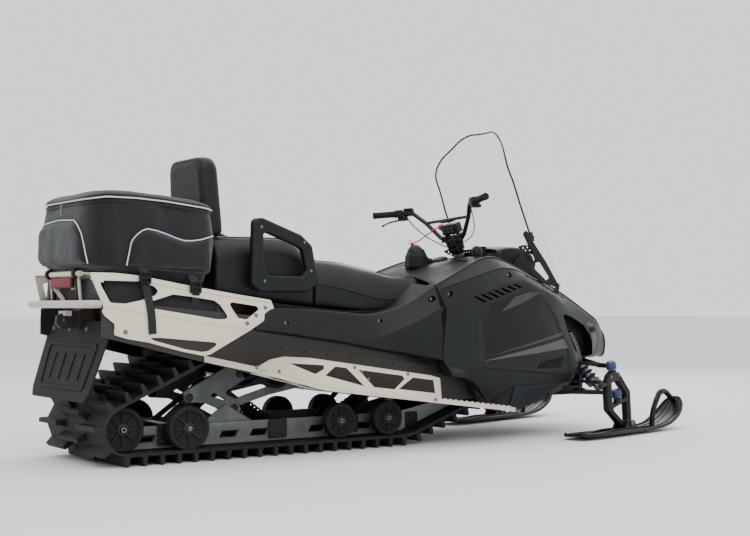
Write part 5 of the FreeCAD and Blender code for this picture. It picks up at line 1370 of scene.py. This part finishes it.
cap_profile = [(-9, 15), (-9, 21), (-4, 23), (9, 23), (13, 20), (13, 14)]
place("tail_caps", [lathe(cap_profile, (-1627, y, 776), (0, 1, 0), 28) for y in (-144, 144)], plastic_dark)
place("tail_lamp_frame", plate(rect(-118, -22, 118, 22), 12, 3, facing_back(-1632, 740),
                               [rect(-106, -14, 106, 14)], radius=8, hole_radius=5), plastic_dark, 35)
fins = [block((-1643, y - 1.4, 724), (-1640, y + 1.4, 756), 0.6, 1) for y in range(-96, 97, 16)]
tail_lens = place("tail_lens", [block((-1642, -110, 722), (-1626, 110, 758), 5)] + fins, red_lens)
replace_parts(tail_lens, "tail_light")
struts = []
for side in (-1, 1):
    struts.append(sweep([(-1618, side * 118, 722), (-1600, side * 74, 676), (-1596, side * 66, 662)], 1,
                        flat=(6, 22)))
    struts.append(sweep([(-1622, side * 150, 764), (-1616, side * 150, 700), (-1612, side * 150, 664)],
                        7, 12))
place("tail_struts", struts, cream)
posts = [lathe([(0, 9), (90, 9)], (-1616, y, 668), (0, 0, 1), 14) for y in (-128, 128)]
place("tail_posts", posts, plastic_dark)
place("number_lamp", block((-1632, -40, 604), (-1604, 40, 626), 4), lens)
place("bumper_ties", [block((-1640, y - 12, 628), (-1596, y + 12, 646), 4) for y in (-210, 210)], brown)


# Snow flap: moulded rubber with a raised frame, ribs, bolts and rounded corners

flap_foot, flap_top = Vector((-1650, 0, 262)), Vector((-1545, 0, 584))
flap_up = (flap_top - flap_foot).normalized()
flap_out = Vector((-flap_up.z, 0, flap_up.x))
high = (flap_top - flap_foot).length
flap_place = Matrix((Vector((0, 1, 0)), flap_up, flap_out)).transposed().to_4x4()
flap_place.translation = flap_foot
flap_outline = [(-282, 0), (282, 0), (305, 40), (327, high - 70), (316, high), (-316, high),
                (-327, high - 70), (-305, 40)]
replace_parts(place("flap_sheet", plate(flap_outline, 7, 2, flap_place, radius=20), rubber, 35), "snow_flap")
relief_place = flap_place @ Matrix.Translation((0, 0, 4))
frame_out = [(-236, 44), (236, 44), (258, high - 96), (-258, high - 96)]
frame_in = [(-220, 60), (220, 60), (240, high - 112), (-240, high - 112)]
raised = plate(frame_out, 9, 2.5, relief_place, [frame_in], radius=26, hole_radius=18)
ribs = [plate(rect(x - 5, 84, x + 5, high - 140), 8, 2, relief_place, radius=4) for x in (-150, -50, 50, 150)]
place("flap_relief", [raised] + ribs, rubber, 35)
flap_bolts = [bolt(flap_place @ Vector((y, high - 36, 4)), flap_out, 9, 6) for y in (-270, -90, 90, 270)]
place("flap_bolts", flap_bolts, alloy)


# Running boards: bolts, tread cleats and a lighter band along the tunnel, a painted highlight above its
# crease

board_bolts = bolts_at(-486, ((-986, 392), (-880, 374), (-500, 380), (-212, 342), (-54, 222)), 6, 4)
both_sides("board_bolts", board_bolts + bolts_at(-331, ((-353, 349), (-318, 315)), 6, 4), steel, 40)
cleats = []
for x in range(-620, 331, 38):
    z = lerp_line([(-1567, 523), (-640, 285), (428, 146)], x) + 3
    flat = Matrix.Translation((x, -406, z + 3)) @ Matrix.Rotation(math.radians(8), 4, "Y")
    cleats.append(plate(rect(-10, -52, 10, 52), 9, 2, flat, [rect(-4, -44, 4, 44)], radius=5, hole_radius=3))
both_sides("board_cleats", cleats, cream, 35)
crease_line = [(-1600, 595), (-900, 497), (40, 366), (596, 392)]


def tunnel_point(x, over, out):
    """Point on the tunnel's right side, over its crease and off the sheet."""
    z = lerp_line(crease_line, x) + over
    return Vector((x, -(331.3 - 0.19 * max(0.0, over)) - out, z))


# Band just above the tunnel's crease, where the sheet leans in and faces up: painted highlight in the lighter
# brown.
both_sides("tunnel_band", sheet([[tunnel_point(x, over, 1.2) for over in (2, 16, 30)]
                                 for x in range(-1020, 41, 40)]), brown_light, 20)
rivets = [bolt(tunnel_point(x, -14, 0.5), (0, -1, 0), 4, 3) for x in range(-1480, 30, 118)]
both_sides("tunnel_rivets", rivets, brown_light, 40)


# Wheels of the track: moulded tyre on a ribbed hub with a bearing and a bolt

tyres, hubs, hub_pins = [], [], []
half_wide = 22
wheel_spots = []
for x, y, z, r in ((-1470, 232, 145, 92.4), (-435, 268, 132, 79.6), (-174, 268, 132, 79.6),
                   (-700, 150, 358, 80), (-1190, 268, 138, 92.4)):
    wheel_spots += [(x, -y, z, r), (x, y, z, r)]
for x, y, z, r in wheel_spots + [(-1470, 0, 145, 92.4)]:
    flank = [(6, 0), (6, 24), (10, 27), (12, 34), (12, r - 30), (7, r - 22), (1, r - 18), (0, r - 14),
             (0, r - 6), (5, r - 0.4)]
    flank = [(a - half_wide, b) for a, b in flank]
    tyres.append(lathe(flank + [(-a, b) for a, b in flank[::-1]], (x, y, z), (0, 1, 0), 48))
    for k in range(8):
        turn = Matrix.Translation((x, y, z)) @ Matrix.Rotation(2 * math.pi * k / 8, 4, "Y")
        tyres.append(block((22, 5 - half_wide, -4), (r - 22, half_wide - 5, 4), 2.5, 2, turn))
    for way in (-1, 1):
        hubs.append(lathe([(10, 25), (19, 25), (21, 23), (22, 17), (19, 15), (19, 9)],
                          (x, y, z), (0, way, 0), 28))
        hub_pins.append(lathe([(18, 11), (24, 11), (25, 8), (29, 7.5), (30, 6), (30, 0)],
                              (x, y, z), (0, way, 0), 18))
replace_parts(place("track_rollers", tyres, rubber, 35), "track_wheels")
place("roller_hubs", hubs, brown_light)
place("roller_pins", hub_pins, alloy)
axle_rows = [(-1470, -262, 262, 145, 11), (-1190, -296, 296, 138, 9), (-700, -180, 180, 358, 10)]
axle_rows += [(x, side * 196, side * 298, 132, 9) for x in (-435, -174) for side in (-1, 1)]
place("roller_axles", [sweep([(x, a, z), (x, b, z)], r, 16) for x, a, b, z, r in axle_rows], steel)


# Slide rails: wear strip, junction plates, brackets and the grey arms of the rear linkage

strips = [block((-1400, y - 9, 52.5), (150, y + 9, 58), 1.5, 1) for y in (-197, 197)]
place("wear_strips", strips, plastic_dark, 30, slot="ski_plastic")
junctions, rail_bolts = [], []
for x0, x1, z0, z1 in ((-768, -674, 66, 148), (-360, -290, 70, 146), (-1300, -1226, 66, 158),
                       (-20, 50, 74, 146)):
    junctions.append(plate(rect(x0, z0, x1, z1), 8, 2.5, at_y(-209), radius=10))
    rail_bolts += bolts_at(-213, [(x, z) for x in (x0 + 18, x1 - 18) for z in (z0 + 16, z1 - 16)], 6.5, 5)
both_sides("rail_junctions", junctions, brown, 35)
both_sides("rail_bolts", rail_bolts, brown_light, 40)
rear_arm = [(-1166, 282), (-1158, 238), (-1060, 230), (-1010, 208), (-930, 150), (-886, 196), (-922, 248),
            (-975, 272), (-868, 326), (-905, 386), (-962, 384)]
arm_hole = [(-1040, 262), (-960, 236), (-990, 254), (-1020, 272)]
arm = plate(rear_arm, 16, 4, at_y(-176), [arm_hole], radius=12, hole_radius=4)
both_sides("rear_arms", arm, rail_grey, 35)
pull_arm = [(-940, 236), (-910, 206), (-740, 252), (-560, 284), (-556, 314), (-745, 290)]
both_sides("pull_arms", plate(pull_arm, 12, 4, at_y(-160), radius=10), rail_grey, 35)
pin_profile = [(-16, 0), (-16, 12), (-12, 17), (12, 17), (16, 12), (16, 0)]
pin_spots = ((-1140, 258), (-925, 205), (-900, 350))
both_sides("arm_pins", [lathe(pin_profile, (x, -176, z), (0, 1, 0), 24) for x, z in pin_spots], brown, 40)
gusset = [(-1074, 150), (-1020, 196), (-966, 224), (-932, 200), (-842, 150), (-842, 120), (-1074, 120)]
both_sides("rail_gussets", plate(gusset, 9, 2.5, at_y(-190), radius=10), rail_grey, 35)
strut_line = [(-205, 100), (-190, 128), (20, 262), (40, 300)]
place("front_struts", [sweep([(x, y, z) for x, z in strut_line], 1, flat=(12, 30)) for y in (-146, 146)],
      tan_metal, 35)


def spring(low, high, radius, wire, turns):
    """Coil spring between two points."""
    low, high = Vector(low), Vector(high)
    axis = (high - low).normalized()
    side = axis.orthogonal().normalized()
    up = axis.cross(side)
    count = turns * 20
    path = []
    for k in range(count + 1):
        a = 2 * math.pi * turns * k / count
        path.append(low.lerp(high, k / count) + side * (radius * math.cos(a)) + up * (radius * math.sin(a)))
    return sweep(path, wire, 8)


place("skid_springs", [spring((-655, 0, 110), (-785, 0, 200), 34, 5, 7),
                       spring((-305, 0, 114), (-110, 0, 222), 33, 5, 9)], plastic_dark, 50)


# Track: stiffening rods' ends along the edge of the belt's lower run

place("track_rod_ends", [block((x, y - 3, 40), (x + 22, y + 3, 50), 1.5, 1)
                         for x in range(-1430, -10, 54) for y in (-301, 301)], rubber, 30)


# Front end, straight ahead and then turned with the skis

kingpin_line = Vector((-0.2425, 0, 0.9701))


def near_kingpin(along, back=0.0, y=-500.0):
    """Point near the right kingpin: along its axis from the lower ball, and behind it."""
    return Vector((1087 - 0.2425 * along - 0.9701 * back, y, 206 + 0.9701 * along - 0.2425 * back))


def on_kingpin(profile, sides=32, back=0.0):
    return lathe(profile, near_kingpin(0, back), kingpin_line, sides)


def pin_on_kingpin(low, high, r, back=0.0, edge=2.0):
    """Upright pin with rounded ends, between two stations of the kingpin's axis."""
    return on_kingpin([(low, 0), (low, r - edge), (low + edge, r), (high - edge, r), (high, r - edge),
                       (high, 0)], 24, back)


leg_line = [(988, 262), (1012, 300), (1038, 316), (1100, 312), (1196, 212), (1196, 30), (1114, 30),
            (988, 126)]
leg_windows = [[(1028, 266), (1092, 266), (1157, 202), (1157, 184), (1028, 150)],
               [(1028, 130), (1157, 164), (1157, 70), (1112, 70)]]
arm_low = [near_kingpin(66, back, y) for back, y in ((0, -516), (0, -484), (131, -488), (131, -512))]
legs = [plate(leg_line, 36, 6, at_y(-500), leg_windows, radius=12, hole_radius=9),
        pin_on_kingpin(-52, -26, 21), pin_on_kingpin(94, 120, 21), pin_on_kingpin(70, 104, 6, 118, 1),
        lathe([(-46, 0), (-46, 8), (46, 8), (46, 0)], (1155, -500, 50), (0, 1, 0), 18),
        skin([[p + kingpin_line * 12 for p in arm_low], arm_low])]
leg_ribs = [(1008, 250, 1008, 140), (1008, 134, 1122, 46), (1176, 204, 1176, 44), (1106, 292, 1176, 218)]
leg_ribs = [sweep([(ax, y, az), (bx, y, bz)], 3.2, 8) for y in (-519, -481) for ax, az, bx, bz in leg_ribs]
leg_spots = ((1024, 290), (1094, 296), (1176, 54))
leg_bolts = bolts_at(-518, leg_spots, 6.5, 4) + bolts_at(-482, leg_spots, 6.5, 4, (0, 1, 0))
leg_bolts += [bolt((1155, -500 + k * 46, 50), (0, k, 0), 11, 7) for k in (-1, 1)]

ski_stations = [(690, 21, 50), (700, 16, 60), (724, 11, 68), (800, 10, 82), (960, 10, 82), (1140, 10, 82),
                (1300, 10, 82), (1380, 15, 82), (1440, 23, 82), (1480, 31, 82), (1530, 50, 81),
                (1570, 69, 79), (1604, 92, 74), (1632, 117, 65), (1652, 138, 52), (1664, 152, 38),
                (1669, 160, 20), (1670, 162, 6)]
sole_rings = []
for k, (x, z, w) in enumerate(ski_stations):
    ahead = ski_stations[min(k + 1, len(ski_stations) - 1)]
    behind = ski_stations[max(k - 1, 0)]
    run = Vector((ahead[0] - behind[0], 0, ahead[1] - behind[1])).normalized()
    up = Vector((-run.z, 0, run.x))
    lip = min(8.0, w / 6)
    edge_high = 9 + lip * 0.9
    section = [(-w, 0), (-w, edge_high - 2), (-w + lip * 0.4, edge_high), (-w + lip, edge_high - 1),
               (-w + 1.5 * lip, 8), (-w * 0.56, 8), (-w * 0.52, 12), (-w * 0.44, 12), (-w * 0.4, 8),
               (-w * 0.1, 8), (-w * 0.06, 5.5)]
    section += [(-y, h) for y, h in section[::-1]]
    sole_rings.append([Vector((x, -500 + y, z)) + up * h for y, h in section])
ski_parts = [skin(sole_rings),
             plate([(800, 0.5), (1300, 0.5), (1398, 17), (1300, 14), (760, 14)], 20, 3, at_y(-500))]
for k in (-1, 1):
    ski_parts.append(plate([(760, 14), (1380, 14), (1300, 33), (1000, 33)], 9, 2.5, at_y(-500 + k * 40)))
    ski_parts.append(plate([(1086, 14), (1224, 14), (1184, 68), (1126, 68)], 17, 4, at_y(-500 + k * 33),
                           radius=9))
loop_line = [(1412, 24), (1434, 100), (1498, 182), (1532, 196), (1571, 191), (1640, 146), (1650, 140)]
loop_line = smooth_path([(x, -500, z) for x, z in loop_line], 6)
ski_parts.append(sweep(loop_line, 12, 16, flat=(26, 22)))
runner_line = [(800, 2), (900, 0.5), (1150, 0.5), (1310, 3), (1392, 16)]
runner_line = smooth_path([(x, -500, z) for x, z in runner_line], 5)
runner = sweep([p + Vector((0, 0, 3.5)) for p in runner_line], 3.6, 10)

front_pieces = [("spindle_legs", legs, brown, "spindle"), ("spindle_ribs", leg_ribs, brown, "spindle"),
                ("spindle_bolts", leg_bolts, alloy, "spindle"), ("ski_skin", ski_parts, ski_black, "ski"),
                ("ski_loop_pad", sweep(loop_line[9:-8], 14.5, 16), ski_black, "ski"),
                ("ski_runner", runner, steel, "ski"),
                ("ski_saddle", block((1096, -514, 11), (1214, -486, 21), 3), rubber, "ski")]
for side, tag in ((-1, "_r"), (1, "_l")):
    for name, shape, look, body in front_pieces:
        mesh = as_mesh(shape)
        mesh = mesh.copy() if side < 0 else mirror(mesh)
        mesh.transform(turn_about((1087, side * 500, 206), steer_angle, kingpin_line))
        piece = place(name + tag, mesh, look, 35, body + tag)
        if name in ("spindle_legs", "ski_skin"):
            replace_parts(piece, body + tag)

both_sides("ball_boots", [
    on_kingpin([(low, 24), (low, 25.5), (low + 2, 27), (high - 2, 27), (high, 25.5), (high, 24)])
    for low, high in ((-12, 9), (132, 152))], blue, 40)
rings = [on_kingpin([(at, 24), (at, 25.6), (at + 3, 25.6), (at + 3, 24)]) for at in (-18, 14, 127, 156)]
rings.append(on_kingpin([(160, 20), (163, 20), (168, 15), (170, 8), (170, 0)], 28))
both_sides("ball_rings", rings, alloy, 40)

low, high = Vector((1066, -400, 230)), Vector((1020, -212, 412))
along = (high - low).normalized()
both_sides("front_springs", spring(low + along * 44, high - along * 30, 33, 5, 7), plastic_dark, 50)
both_sides("spring_seats", [
    lathe([(34, 0), (34, 33), (38, 36), (44, 36), (46, 32), (46, 0)], low, along, 28),
    lathe([(-30, 0), (-30, 34), (-26, 36), (-20, 34), (-20, 0)], high, along, 28),
    lathe([(-6, 0), (-6, 17), (6, 19), (18, 19), (24, 15), (34, 14)], low, along, 24)], alloy, 40)
both_sides("shock_rings", lathe([(50, 26), (52, 28), (62, 28), (66, 26)], low, along, 28), blue, 40)


# Floor, light and camera

plane = bpy.data.meshes.new("floor")
plane.from_pydata([(-60, -60, 0), (60, -60, 0), (60, 60, 0), (-60, 60, 0)], [], [(0, 1, 2, 3)])
floor_look = surface("pale_floor", (226, 228, 230), 0.9, spread=0.01, spots=0.6, grain=40, bump=0.02)
plane.materials.append(floor_look)
floor = add_object("floor", plane)
floor.location.z = cad_box[0][2] - 0.0005

world = bpy.data.worlds.new("studio")
bpy.context.scene.world = world
world.use_nodes = True
world.node_tree.nodes["Background"].inputs["Color"].default_value = (0.80, 0.83, 0.85, 1)
world.node_tree.nodes["Background"].inputs["Strength"].default_value = 1.6


def soft_light(name, location, target_z, size, power):
    data = bpy.data.lights.new(name, "AREA")
    data.shape = "RECTANGLE"
    data.size, data.size_y = size
    data.energy = power
    lamp = add_object(name, data)
    lamp.location = location
    lamp.rotation_euler = (Vector((0, 0, target_z)) - Vector(location)).to_track_quat("-Z", "Y").to_euler()


soft_light("key", (-2.5, -5.5, 5.5), 0.6, (5, 4), 190)
soft_light("top", (0.5, 0.5, 6.5), 0.5, (7, 5), 170)
soft_light("rim", (4.5, 3.5, 3.8), 0.6, (4, 3), 110)

camera_data = bpy.data.cameras.new("camera")
camera_data.lens = 60.94
camera_data.sensor_width = 36.0
camera = add_object("camera", camera_data)
camera.location = (-3.6126, -5.0267, 0.6435)
yaw, rise = math.radians(35.35), math.radians(1.73)
aim = Vector((math.sin(yaw) * math.cos(rise), math.cos(yaw) * math.cos(rise), math.sin(rise)))
camera.rotation_euler = aim.to_track_quat("-Z", "Y").to_euler()
bpy.context.scene.camera = camera
